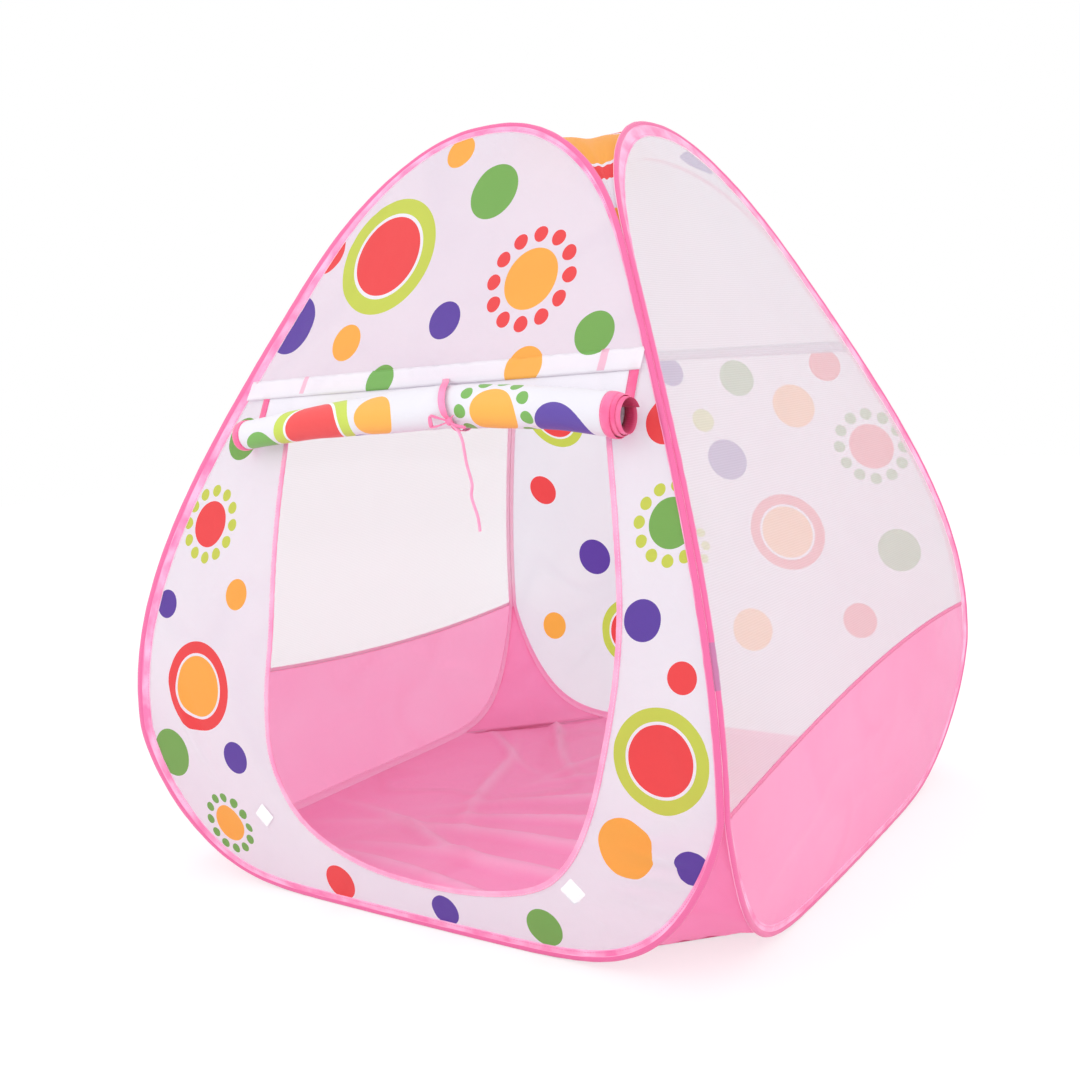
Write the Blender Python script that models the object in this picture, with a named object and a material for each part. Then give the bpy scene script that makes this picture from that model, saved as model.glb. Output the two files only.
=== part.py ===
"""Children's pop-up play tent: four sprung wire loops in bound fabric walls, folding at the corners.

Metres, +Z up, front wall towards -Y, origin on the ground under the middle of the floor.
Each wall is drawn once as the front wall, in (across, height), and turned about Z to its own side.
"""

import math

import bmesh
import bpy
import numpy as np
from mathutils import Matrix, Vector
from mathutils.geometry import delaunay_2d_cdt

# Overall form
HEIGHT = 1.0
HALF_WIDTH = 0.449
PROFILE_HEIGHT_SHARES = (0.0, 0.15, 0.35, 0.60, 0.85, 1.0)
PROFILE_WIDTH_SHARES = (0.928, 0.991, 0.976, 0.794, 0.5285, 0.344)
WALL_CROWN = 0.007

# Corner seams, where neighbouring loops run side by side
SEAM_LOW_SHARE = 0.207
SEAM_HIGH_SHARE = 0.786
SEAM_LOW = HEIGHT * SEAM_LOW_SHARE
SEAM_HIGH = HEIGHT * SEAM_HIGH_SHARE
BOTTOM_SPREAD_SHARE = 0.289
BOTTOM_RISE_SHARE = 1.667
TOP_SPREAD_SHARE = 0.837
TOP_RISE_SHARE = 0.583
BOTTOM_STATIONS = 9
TOP_STATIONS = 7
SEAM_SPACING = 0.085

# Spring wire, its crimped joint and the folded tape around it
WIRE_RADIUS = 0.0015
WIRE_END_GAP = 0.0006
FERRULE_BORE_RADIUS = 0.00185
FERRULE_RADIUS = 0.00235
FERRULE_LENGTH = 0.036
FERRULE_HEIGHT_SHARE = 0.364
FERRULE_HEIGHT = HEIGHT * FERRULE_HEIGHT_SHARE
TAPE_BORE_RADIUS = 0.0027
TAPE_RADIUS = 0.0033
TAPE_FOOT_WIDTH = 0.011
TAPE_TOP_WIDTHS = {"front": 0.0085, "right": 0.021, "back": 0.0085, "left": 0.021}
TAPE_LEFT_WIDTHS = {"front": 0.0140, "right": 0.0080, "back": 0.0080, "left": 0.0052}
TAPE_RIGHT_WIDTHS = {"front": 0.0052, "right": 0.0200, "back": 0.0052, "left": 0.0140}
TAPE_THICKNESS = 0.0006
TAPE_SIDES = 6

# Cloth
CLOTH = 0.0010
GAP = 0.0003
LOOSE = 0.0008
CLOTH_GRID = 0.085

# Front wall: header seam, door opening and its tape
HEADER_LEFT_SHARE = 0.657
HEADER_RIGHT_SHARE = 0.675
HEADER_LEFT = HEIGHT * HEADER_LEFT_SHARE
HEADER_RIGHT = HEIGHT * HEADER_RIGHT_SHARE
HEADER_HEM = 0.018
DOOR_CENTRE_SHARE = 0.13697
DOOR_HALF_WIDTH_SHARE = 0.57795
DOOR_CENTRE = HALF_WIDTH * DOOR_CENTRE_SHARE
DOOR_HALF_WIDTH = HALF_WIDTH * DOOR_HALF_WIDTH_SHARE
DOOR_SILL = 0.064
DOOR_ACROSS_SHARES = (-1.085, -1.04, -0.985, -0.995, -0.96, -0.80, -0.45, 0.04,
                      0.47, 0.71, 0.88, 0.985, 1.0, 0.94, 0.84, 0.75)
DOOR_HEIGHT_SHARES = (1.0, 0.767, 0.51, 0.34, 0.20, 0.08, 0.012, 0.0,
                      0.032, 0.10, 0.23, 0.41, 0.56, 0.71, 0.87, 1.0)
DOOR_STATIONS = 30
DOOR_TAPE_WIDTH = 0.009
DOOR_TAPE_TUCK = 0.0012

# Rolled-up door
ROLL_LEFT_SHARE = -0.61693
ROLL_RIGHT_SHARE = 0.67261
ROLL_LEFT = HALF_WIDTH * ROLL_LEFT_SHARE
ROLL_RIGHT = HALF_WIDTH * ROLL_RIGHT_SHARE
ROLL_RADIUS_LEFT = 0.0200
ROLL_RADIUS_RIGHT = 0.0260
ROLL_PITCH = 0.0044
ROLL_TURNS = 2.5
ROLL_TURN_POINTS = 14
ROLL_DROP_LEFT = 0.068
ROLL_DROP_RIGHT = 0.0735
ROLL_LIFT = 0.0206
ROLL_SLIDE = 0.024
ROLL_STATIONS = 7
FLAP_CLOTH = 0.0012
FLAP_TAPE_WIDTH = 0.012
FLAP_HANG_GAP = 0.0004

# Ribbon that ties the door up
TIE_TOP_SHARE = 0.08686
TIE_SHARE = 0.20379
TIE_TOP_ACROSS = HALF_WIDTH * TIE_TOP_SHARE
TIE_ACROSS = HALF_WIDTH * TIE_SHARE
RIBBON_WIDTH = 0.010
RIBBON_THICKNESS = 0.0008
KNOT_TURN_SHARE = 0.297
KNOT_RADII = (0.0050, 0.0035, 0.0048)
BOW_LENGTH = 0.022
BOW_HEIGHT = 0.010
BOW_RIBBON_WIDTH = 0.004
BOW_STATIONS = 12
BOW_TIP_LENGTH = 0.022
BOW_TIP_DROP = 0.006
TAIL_RADIUS = 0.0018
TAIL_LEAVES_KNOT = (0.0031, 0.0012, -0.0041)
TAIL_FROM_KNOT = (
    (0.0112, 0.0007, -0.0100),
    (0.0172, 0.0002, -0.0215),
    (0.0192, 0.0002, -0.0325),
    (0.0212, 0.0007, -0.0490),
    (0.0252, 0.0007, -0.0640),
    (0.0274, 0.0007, -0.0745),
    (0.0250, 0.0012, -0.0870),
    (0.0270, 0.0017, -0.0965),
    (0.0320, 0.0022, -0.1130),
    (0.0334, 0.0027, -0.1290),
)
TAIL_POINTS = 41

# Hook-and-loop patches that hold the door shut
PATCH_SIDE = 0.024
PATCH_THICKNESS = 0.0012
PATCH_DOOR_SHARES = (-1.1002, 0.7418)
PATCH_RISES = (0.046, 0.030)

# Side walls: net above, solid skirt below
SKIRT_HIGH_SHARE = 0.264
SKIRT_HIGH = HEIGHT * SKIRT_HIGH_SHARE
RIGHT_SKIRT_RISE = 0.030
LEFT_SKIRT_RISE = -0.030
SKIRT_EDGE_POINTS = 7

# Floor, corner gussets and roof cap
FLOOR_THICKNESS = 0.0010
GUSSET_START_SHARE = 0.52339
GUSSET_START = HALF_WIDTH * GUSSET_START_SHARE
GUSSET_COLUMNS = 4
CAP_COLUMNS = 4
CAP_SAG = 0.046

# Fold lines of the corner hinges, at the low end of the seams
CLOSING_FOLD_INSET = 0.050
OPENING_FOLD_OUTSET = 0.060

WALLS = ("front", "right", "back", "left")

PINK = (0.93, 0.24, 0.47)
PALE_PINK = (0.96, 0.45, 0.64)
WHITE = (0.90, 0.87, 0.92)
NET_WHITE = (0.92, 0.91, 0.94)
STEEL = (0.55, 0.56, 0.58)
LILAC = (0.66, 0.50, 0.66)


def clear_scene():
    """Start from an empty scene."""
    for thing in list(bpy.data.objects):
        bpy.data.objects.remove(thing, do_unlink=True)


def material(name, colour, roughness, metallic=0.0):
    """A plain finish for one piece."""
    made = bpy.data.materials.new(name)
    made.use_nodes = True
    shader = made.node_tree.nodes["Principled BSDF"]
    shader.inputs["Base Color"].default_value = (*colour, 1.0)
    shader.inputs["Roughness"].default_value = roughness
    shader.inputs["Metallic"].default_value = metallic
    return made


# The wall surface

PROFILE = np.polyfit(PROFILE_HEIGHT_SHARES, PROFILE_WIDTH_SHARES, len(PROFILE_HEIGHT_SHARES) - 1)
PROFILE_SLOPE = np.polyder(PROFILE)


def half_width(height):
    """Distance of the wall from the middle of the tent at a height."""
    return float(HALF_WIDTH * np.polyval(PROFILE, height / HEIGHT))


def wall_normal(across, height):
    """Outward direction of the front wall."""
    slope = HALF_WIDTH / HEIGHT * float(np.polyval(PROFILE_SLOPE, height / HEIGHT))
    lean = 2 * WALL_CROWN * across / half_width(height) ** 2
    return Vector((lean, -1.0, -slope)).normalized()


def wall_point(across, height, out=0.0):
    """A point of the front wall, moved outwards by a distance."""
    half = half_width(height)
    crown = WALL_CROWN * max(0.0, 1 - (across / half) ** 2)
    return Vector((across, -half - crown, height)) + wall_normal(across, height) * out


class Frame:
    """A place on an edge: point, direction along it, outward normal, way into the cloth, tape width."""

    def __init__(self, point, along, normal, tape, turn=1.0):
        self.tape = tape
        self.point = point
        self.along = along
        self.normal = (normal - along * normal.dot(along)).normalized()
        self.inward = self.normal.cross(along) * turn
        self.turn = turn

    def at(self, inward, out):
        return self.point + self.inward * inward + self.normal * out

    def slid(self, distance):
        return Frame(self.point + self.along * distance, self.along, self.normal, self.tape, self.turn)


def tape_width(wall, across, height):
    """Width of a wall's edge tape from the wire's middle: each side of a wall shows its own width."""
    seam = (TAPE_LEFT_WIDTHS if across < 0 else TAPE_RIGHT_WIDTHS)[wall]
    heights = (0.0, SEAM_LOW, SEAM_HIGH, HEIGHT)
    return float(np.interp(height, heights, (TAPE_FOOT_WIDTH, seam, seam, TAPE_TOP_WIDTHS[wall])))


def frames_along(places, closed, tapes, turn=1.0):
    """Frames on the front wall at (across, height) places, square to the edge's bends."""
    points = [wall_point(a, h) for a, h in places]
    count = len(points)
    made = []
    for i, (across, height) in enumerate(places):
        before = points[i - 1] if closed or i > 0 else points[i]
        after = points[(i + 1) % count] if closed or i < count - 1 else points[i]
        back = (points[i] - before).normalized()
        ahead = (after - points[i]).normalized()
        along = (back + ahead).normalized()
        made.append(Frame(points[i], along, wall_normal(across, height), tapes[i], turn))
    return made


def even_steps(curve, count):
    """Points at even distances along a densely drawn curve."""
    dense = np.array(curve)
    lengths = np.concatenate(([0.0], np.cumsum(np.linalg.norm(np.diff(dense, axis=0), axis=1))))
    wanted = np.linspace(0.0, lengths[-1], count)
    columns = [np.interp(wanted, lengths, dense[:, k]) for k in range(dense.shape[1])]
    return [tuple(map(float, row)) for row in zip(*columns)]


# The loop of wire, drawn in (across, height)

CORNER_INSET = (2 * TAPE_RADIUS + GAP) / math.sqrt(2) + GAP / 2


def loop_half():
    """Right half of a loop from bottom middle to top middle, and the heights of its seam stations."""
    low = TAPE_RADIUS
    high = HEIGHT - TAPE_RADIUS
    turns = np.linspace(0.0, math.pi / 2, 400)
    bottom = []
    top = []
    for a in turns:
        height = low + (SEAM_LOW - low) * (1 - math.cos(a) ** BOTTOM_RISE_SHARE)
        bottom.append(((half_width(height) - CORNER_INSET) * math.sin(a) ** BOTTOM_SPREAD_SHARE, height))
        height = SEAM_HIGH + (high - SEAM_HIGH) * math.sin(a) ** TOP_RISE_SHARE
        top.append(((half_width(height) - CORNER_INSET) * math.cos(a) ** TOP_SPREAD_SHARE, height))
    stops = (SEAM_LOW, SKIRT_HIGH, FERRULE_HEIGHT, HEADER_LEFT, HEADER_RIGHT, SEAM_HIGH)
    heights = [SEAM_LOW]
    for start, end in zip(stops, stops[1:]):
        steps = max(1, round((end - start) / SEAM_SPACING))
        heights += [start + (end - start) * (k + 1) / steps for k in range(steps)]
    seam = [(half_width(h) - CORNER_INSET, h) for h in heights]
    return even_steps(bottom, BOTTOM_STATIONS)[:-1] + seam + even_steps(top, TOP_STATIONS)[1:]


HALF_LOOP = loop_half()
LOOP_PLACES = HALF_LOOP + [(-a, h) for a, h in reversed(HALF_LOOP[1:-1])]
LOOPS = {}
for wall_name in WALLS:
    LOOPS[wall_name] = frames_along(LOOP_PLACES, True, [tape_width(wall_name, a, h) for a, h in LOOP_PLACES])
LOOP = LOOPS["front"]


def station(height, side):
    """Number of the loop's station at a seam height, on the right (+1) or left (-1)."""
    fits = [i for i, (a, h) in enumerate(LOOP_PLACES) if a * side > 0]
    return min(fits, key=lambda i: abs(LOOP_PLACES[i][1] - height))


def loop_run(loop, first, last, trim):
    """A loop's frames from one station on to another, with both ends drawn in by a trim."""
    steps = (last - first) % len(loop)
    run = [loop[(first + k) % len(loop)] for k in range(steps + 1)]
    return [run[0].slid(trim)] + run[1:-1] + [run[-1].slid(-trim)]


# Turning outlines into solids

def new_object(name, points, faces, finish, wall="front"):
    """A mesh object from points and faces, turned to its wall, with its faces outwards."""
    mesh = bpy.data.meshes.new(name)
    made = bmesh.new()
    corners = [made.verts.new(p) for p in points]
    for face in faces:
        made.faces.new([corners[i] for i in face])
    bmesh.ops.triangulate(made, faces=made.faces[:])
    made.transform(Matrix.Rotation(WALLS.index(wall) * math.pi / 2, 4, "Z"))
    if made.calc_volume(signed=True) < 0:
        bmesh.ops.reverse_faces(made, faces=made.faces[:])
    made.to_mesh(mesh)
    made.free()
    mesh.shade_smooth()
    mesh.set_sharp_from_angle(angle=math.radians(40))
    mesh.materials.append(finish)
    thing = bpy.data.objects.new(name, mesh)
    bpy.context.scene.collection.objects.link(thing)
    return thing


def sweep(rings, closed, ribbon=False):
    """Faces of a tube through rings of equal count, with end caps when it is open.

    A ribbon's rings run out along one face and back along the other, and its caps are strips.
    """
    points = [p for ring in rings for p in ring]
    size = len(rings[0])
    faces = []
    for i in range(len(rings) if closed else len(rings) - 1):
        here = i * size
        there = (i + 1) % len(rings) * size
        for k in range(size):
            following = (k + 1) % size
            faces.append((here + k, here + following, there + following, there + k))
    last = len(points) - size
    if ribbon:
        for k in range(size // 2 - 1):
            strip = (k, k + 1, size - 2 - k, size - 1 - k)
            faces.append(tuple(reversed(strip)))
            faces.append(tuple(i + last for i in strip))
    elif not closed:
        faces.append(tuple(reversed(range(size))))
        faces.append(tuple(range(last, len(points))))
    return points, faces


def polygon(radius, sides):
    """Corners of a regular polygon with one corner pointing outboard."""
    turns = [math.pi + 2 * math.pi * k / sides for k in range(sides)]
    return [(radius * math.cos(t), radius * math.sin(t)) for t in turns]


def thicken(points, normals, faces, thickness):
    """A closed solid from a one-sided sheet."""
    count = len(points)
    half = thickness / 2
    solid = [p + n * half for p, n in zip(points, normals)]
    solid += [p - n * half for p, n in zip(points, normals)]
    made = []
    edges = {}
    for face in faces:
        a, b, c = (points[face[k]] for k in range(3))
        ring = face if (b - a).cross(c - b).dot(normals[face[0]]) > 0 else tuple(reversed(face))
        made.append(tuple(ring))
        made.append(tuple(i + count for i in reversed(ring)))
        for i, j in zip(ring, ring[1:] + ring[:1]):
            edges[(i, j)] = True
    for i, j in edges:
        if (j, i) not in edges:
            made.append((j, i, i + count, j + count))
    return solid, made


def inside(polygon_points, x, y):
    """Whether a point lies inside a closed outline."""
    crossings = 0
    for (ax, ay), (bx, by) in zip(polygon_points, polygon_points[1:] + polygon_points[:1]):
        if (ay > y) != (by > y) and x < ax + (bx - ax) * (y - ay) / (by - ay):
            crossings += 1
    return crossings % 2 == 1


def reach_to_outline(polygon_points, x, y):
    """Distance from a point to the nearest stretch of a closed outline."""
    spot = np.array((x, y))
    starts = np.array(polygon_points)
    runs = np.roll(starts, -1, axis=0) - starts
    squares = (runs * runs).sum(1)
    squares[squares == 0] = np.inf
    shares = np.clip(((spot - starts) * runs).sum(1) / squares, 0, 1)
    return float(np.linalg.norm(starts + runs * shares[:, None] - spot, axis=1).min())


def cloth_panel(name, pieces, finish, wall="front", out=0.0, thickness=CLOTH):
    """A panel of wall cloth inside an outline.

    Each piece of the outline is a run of frames, (frames, tucked), whose cloth is tucked into a
    tape up to that distance, or a plain run of (across, height) places.
    """
    points = []
    normals = []
    outline = []
    bands = []
    for piece in pieces:
        if isinstance(piece, tuple):
            frames, tucked = piece
            first = len(points)
            for frame in frames:
                points.append(frame.at(frame.tape, out))
                normals.append(frame.normal)
                outline.append((points[-1].x, points[-1].z))
            bands.append((first, frames, tucked))
        else:
            for across, height in piece:
                points.append(wall_point(across, height, out))
                normals.append(wall_normal(across, height))
                outline.append((across, height))
    edge_count = len(points)
    low = np.array(outline).min(0)
    high = np.array(outline).max(0)
    for x in np.arange(low[0] + CLOTH_GRID / 2, high[0], CLOTH_GRID):
        for z in np.arange(low[1] + CLOTH_GRID / 2, high[1], CLOTH_GRID):
            if inside(outline, x, z) and reach_to_outline(outline, x, z) > CLOTH_GRID / 3:
                points.append(wall_point(float(x), float(z), out))
                normals.append(wall_normal(float(x), float(z)))
    flat = [Vector((p.x, p.z)) for p in points]
    border = list(range(edge_count))
    result = delaunay_2d_cdt(flat, [], [border], 1, GAP / 10)
    back = [origin[0] for origin in result[3]]
    faces = [tuple(back[i] for i in face) for face in result[2]]
    for first, frames, tucked in bands:
        start = len(points)
        for frame in frames:
            points.append(frame.at(tucked, out))
            normals.append(frame.normal)
        steps = len(frames) if len(frames) == len(LOOP) else len(frames) - 1
        for k in range(steps):
            following = (k + 1) % len(frames)
            faces.append((start + k, start + following, first + following, first + k))
    solid, closed = thicken(points, normals, faces, thickness)
    return new_object(name, solid, closed, finish, wall)


# Wire loops, joints and edge tapes

TUCK = TAPE_RADIUS + GAP


def wire_frames():
    """The wire's own frames: open, with its ends meeting inside the crimped joint."""
    joint = station(FERRULE_HEIGHT, -1)
    run = [LOOP[(joint + k) % len(LOOP)] for k in range(len(LOOP))]
    return [run[0].slid(WIRE_END_GAP / 2)] + run[1:] + [run[0].slid(-WIRE_END_GAP / 2)]


def make_loop(wall, tape_finish, steel):
    """One sprung loop: wire, crimped joint and the tape folded over it and the wall's edge."""
    outline = polygon(WIRE_RADIUS, TAPE_SIDES)
    rings = [[f.at(*place) for place in outline] for f in wire_frames()]
    wire = new_object(f"{wall}_wire_loop", *sweep(rings, closed=False), steel, wall)

    joint = station(FERRULE_HEIGHT, -1)
    middle = LOOP[joint]
    before = (middle.point - LOOP[joint - 1].point).normalized()
    after = (LOOP[joint + 1].point - middle.point).normalized()
    half = FERRULE_LENGTH / 2
    ends = (Frame(middle.point - before * half, middle.along, middle.normal, middle.tape), middle,
            Frame(middle.point + after * half, middle.along, middle.normal, middle.tape))
    outer = [[f.at(*place) for place in polygon(FERRULE_RADIUS, TAPE_SIDES)] for f in ends]
    bore = [[f.at(*place) for place in polygon(FERRULE_BORE_RADIUS, TAPE_SIDES)] for f in ends]
    ferrule = new_object(f"{wall}_wire_ferrule", *sweep(outer + bore[::-1], closed=True), steel, wall)

    lip = CLOTH / 2 + GAP
    sides = polygon(TAPE_RADIUS, TAPE_SIDES)
    bores = polygon(TAPE_BORE_RADIUS, TAPE_SIDES)
    around = sides[2:0:-1] + sides[:1] + sides[:-3:-1]
    within = bores[-2:] + bores[:3]
    rings = []
    for f in LOOPS[wall]:
        section = [(f.tape, -lip - TAPE_THICKNESS)] + around
        section += [(f.tape, lip + TAPE_THICKNESS), (f.tape, lip)] + within + [(f.tape, -lip)]
        rings.append([f.at(*place) for place in section])
    tape = new_object(f"{wall}_wire_sleeve", *sweep(rings, closed=True), tape_finish, wall)
    return [wire, ferrule, tape]


FLAP_OUT = CLOTH / 2 + GAP + TAPE_THICKNESS + LOOSE + FLAP_CLOTH / 2


def header_height(across):
    """Height of the header seam along the front wall."""
    reach = half_width(HEADER_LEFT)
    share = (across + reach) / (2 * reach)
    return HEADER_LEFT + (HEADER_RIGHT - HEADER_LEFT) * share


def smooth_curve(places, per_span=12):
    """A curve through places that bends smoothly at each of them."""
    knots = [np.array(p) for p in places]
    knots = [2 * knots[0] - knots[1]] + knots + [2 * knots[-1] - knots[-2]]
    curve = []
    for a, b, c, d in zip(knots, knots[1:], knots[2:], knots[3:]):
        for t in np.linspace(0, 1, per_span, endpoint=False):
            square = t * t
            cube = square * t
            curve.append(0.5 * (2 * b + (c - a) * t + (2 * a - 5 * b + 4 * c - d) * square
                                + (3 * b - a - 3 * c + d) * cube))
    curve.append(knots[-2])
    return curve


def door_frames():
    """Frames along the edge of the door opening, from the header's left end down, round and up."""
    places = []
    for share, rise in zip(DOOR_ACROSS_SHARES, DOOR_HEIGHT_SHARES):
        across = DOOR_CENTRE + DOOR_HALF_WIDTH * share
        top = header_height(across) - DOOR_TAPE_WIDTH / 3
        places.append((across, DOOR_SILL + (top - DOOR_SILL) * rise))
    places = even_steps(smooth_curve(places), DOOR_STATIONS)
    return frames_along(places, False, [DOOR_TAPE_WIDTH] * len(places), turn=-1.0)


def make_front(cloth, tape):
    """Printed front wall: upper panel, header hem, lower panel round the door, and the door's tape."""
    left = station(HEADER_LEFT, -1)
    right = station(HEADER_RIGHT, 1)
    upper_ring = loop_run(LOOP, right, left, GAP / 2)
    lower_ring = loop_run(LOOP, left, right, GAP / 2)
    reach = half_width(HEADER_RIGHT) - CORNER_INSET - 2 * TAPE_RADIUS - LOOSE
    seam = [(a, header_height(a)) for a in np.linspace(-reach, reach, ROLL_STATIONS)]
    upper = cloth_panel("front_upper_panel", [(upper_ring, TUCK), seam[1:-1]], cloth)
    door = door_frames()
    door_edge = (door[::-1], DOOR_TAPE_TUCK)
    lower = cloth_panel("front_lower_panel", [(lower_ring, TUCK), door_edge], cloth)

    lip = CLOTH / 2 + GAP
    skin = lip + TAPE_THICKNESS
    section = [(0.0, -skin), (DOOR_TAPE_WIDTH, -skin), (DOOR_TAPE_WIDTH, -lip), (TAPE_THICKNESS, -lip),
               (TAPE_THICKNESS, lip), (DOOR_TAPE_WIDTH, lip), (DOOR_TAPE_WIDTH, skin), (0.0, skin)]
    rings = [[f.at(*place) for place in section] for f in door]
    binding = new_object("door_edge_binding", *sweep(rings, closed=False), tape)

    top_reach = reach - HEADER_HEM / 2
    top_edge = [(a, header_height(a) + HEADER_HEM) for a in np.linspace(top_reach, -top_reach, ROLL_STATIONS)]
    hem = cloth_panel("door_header_hem", [seam + top_edge], cloth, out=FLAP_OUT)
    return [upper, lower, binding, hem]


def make_patch(number, place, cloth, finish):
    """One hook-and-loop square, set cornerwise on the cloth of the lower front panel."""
    across, height = place
    reach = PATCH_SIDE / math.sqrt(2)
    found, centre, normal, face = cloth.closest_point_on_mesh(wall_point(across, height, LOOSE))
    side = Vector((0, 0, 1)).cross(normal).normalized()
    rise = normal.cross(side)
    centre = centre + normal * (GAP + PATCH_THICKNESS / 2)
    points = [centre - side * reach, centre - rise * reach, centre + side * reach, centre + rise * reach]
    solid, faces = thicken(points, [normal] * len(points), [tuple(range(len(points)))], PATCH_THICKNESS)
    return new_object(("hook_patch_left", "hook_patch_right")[number], solid, faces, finish)


# The rolled door and its tie, in distances out from and down the front wall below the header

OUT = wall_normal(0.0, HEADER_LEFT)
DOWN = Vector((1, 0, 0)).cross(OUT)


def hang(across, out, down):
    """A point by the header seam, out from the wall and down along it."""
    return wall_point(across, header_height(across)) + OUT * out + DOWN * down


def roll_share(across):
    """Share of the way along the rolled door."""
    return (across - ROLL_LEFT) / (ROLL_RIGHT - ROLL_LEFT)


def roll_radius(across):
    """Radius of the roll's outer turn: the door is wound tighter at its left end."""
    return ROLL_RADIUS_LEFT + (ROLL_RADIUS_RIGHT - ROLL_RADIUS_LEFT) * roll_share(across)


def roll_drop(across):
    """How far the roll's middle hangs below the header: the tie draws it up."""
    reach = TIE_ACROSS - ROLL_LEFT if across < TIE_ACROSS else ROLL_RIGHT - TIE_ACROSS
    slack = ROLL_DROP_LEFT + (ROLL_DROP_RIGHT - ROLL_DROP_LEFT) * roll_share(across)
    return slack - ROLL_LIFT * (1 - ((across - TIE_ACROSS) / reach) ** 2)


def round_roll(across, radius, turn):
    """A place round the roll, (out, down), from its back at half a turn to its front at zero."""
    out = FLAP_OUT + roll_radius(across) + radius * math.cos(turn)
    return out, roll_drop(across) + radius * math.sin(turn)


def flap_middle(across):
    """Middle line of the door's cloth, (out, down, share of the turns): flat, then wound up."""
    line = [(FLAP_OUT, FLAP_HANG_GAP, 0.0)]
    count = round(ROLL_TURNS * ROLL_TURN_POINTS)
    for k in range(count + 1):
        turns = k / ROLL_TURN_POINTS
        radius = roll_radius(across) - ROLL_PITCH * turns
        line.append((*round_roll(across, radius, math.pi - 2 * math.pi * turns), k / count))
    return line


def flap_section(across):
    """Closed outline of the door's cloth, (out, down, share)."""
    line = flap_middle(across)
    half = FLAP_CLOTH / 2
    one = []
    other = []
    for i, (out, down, share) in enumerate(line):
        before = line[max(0, i - 1)]
        after = line[min(len(line) - 1, i + 1)]
        run = Vector((after[0] - before[0], after[1] - before[1])).normalized()
        one.append((out - run.y * half, down + run.x * half, share))
        other.append((out + run.y * half, down - run.x * half, share))
    return one + other[::-1]


def make_flap_piece(name, start, end, stations, finish):
    """A length of the rolled door between two places across, its inner turns slid to the right."""
    rings = []
    for across in np.linspace(start, end, stations):
        slide = ROLL_SLIDE * roll_share(across)
        rings.append([hang(across, out, down) + Vector((slide * share, 0, 0))
                      for out, down, share in flap_section(across)])
    return new_object(name, *sweep(rings, closed=False, ribbon=True), finish)


def make_flap(cloth, tape):
    """The door rolled up under the header, with a bound edge at each end of the roll."""
    left_edge = ROLL_LEFT + FLAP_TAPE_WIDTH
    right_edge = ROLL_RIGHT - FLAP_TAPE_WIDTH
    return [
        make_flap_piece("door_flap_roll", left_edge + GAP, right_edge - GAP, ROLL_STATIONS, cloth),
        make_flap_piece("door_flap_binding_left", ROLL_LEFT, left_edge, 2, tape),
        make_flap_piece("door_flap_binding_right", right_edge, ROLL_RIGHT, 2, tape),
    ]


RIBBON_LIFT = FLAP_CLOTH / 2 + LOOSE + RIBBON_THICKNESS / 2
KNOT_TURN = KNOT_TURN_SHARE * math.pi


def ribbon_middle():
    """The tie ribbon's path, (across, out, down): slanting over the roll, under it and up behind."""
    start = (FLAP_OUT + RIBBON_LIFT, FLAP_HANG_GAP + LOOSE)
    centre = round_roll(TIE_TOP_ACROSS, 0.0, 0.0)
    aside = Vector((start[0] - centre[0], start[1] - centre[1]))
    touch = math.acos((roll_radius(TIE_TOP_ACROSS) + RIBBON_LIFT) / aside.length)
    first = math.atan2(aside.y, aside.x) + touch
    path = [(TIE_TOP_ACROSS, *start)]
    middle_across = (TIE_TOP_ACROSS + TIE_ACROSS) / 2
    for k in range(ROLL_TURN_POINTS):
        turn = first + (math.pi - first) * k / (ROLL_TURN_POINTS - 1)
        across = float(np.interp(turn, (first, KNOT_TURN), (middle_across, TIE_ACROSS)))
        path.append((across, *round_roll(across, roll_radius(across) + RIBBON_LIFT, turn)))
    path.append((TIE_ACROSS, FLAP_OUT - RIBBON_LIFT, FLAP_HANG_GAP + LOOSE))
    return path


def make_ribbon(tape):
    """The ribbon round the rolled door."""
    path = ribbon_middle()
    half = RIBBON_THICKNESS / 2
    wide = RIBBON_WIDTH / 2
    rings = []
    for i, (across, out, down) in enumerate(path):
        before = path[max(0, i - 1)]
        after = path[min(len(path) - 1, i + 1)]
        run = Vector((after[1] - before[1], after[2] - before[2])).normalized()
        ring = []
        for side, face in ((-wide, -half), (wide, -half), (wide, half), (-wide, half)):
            ring.append(hang(across, out - run.y * face, down + run.x * face) + Vector((side, 0, 0)))
        rings.append(ring)
    return new_object("door_tie_ribbon", *sweep(rings, closed=False), tape)


KNOT_REACH = roll_radius(TIE_ACROSS) + RIBBON_LIFT + RIBBON_THICKNESS / 2 + GAP + KNOT_RADII[1]
KNOT = hang(TIE_ACROSS, *round_roll(TIE_ACROSS, KNOT_REACH, KNOT_TURN))


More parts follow.
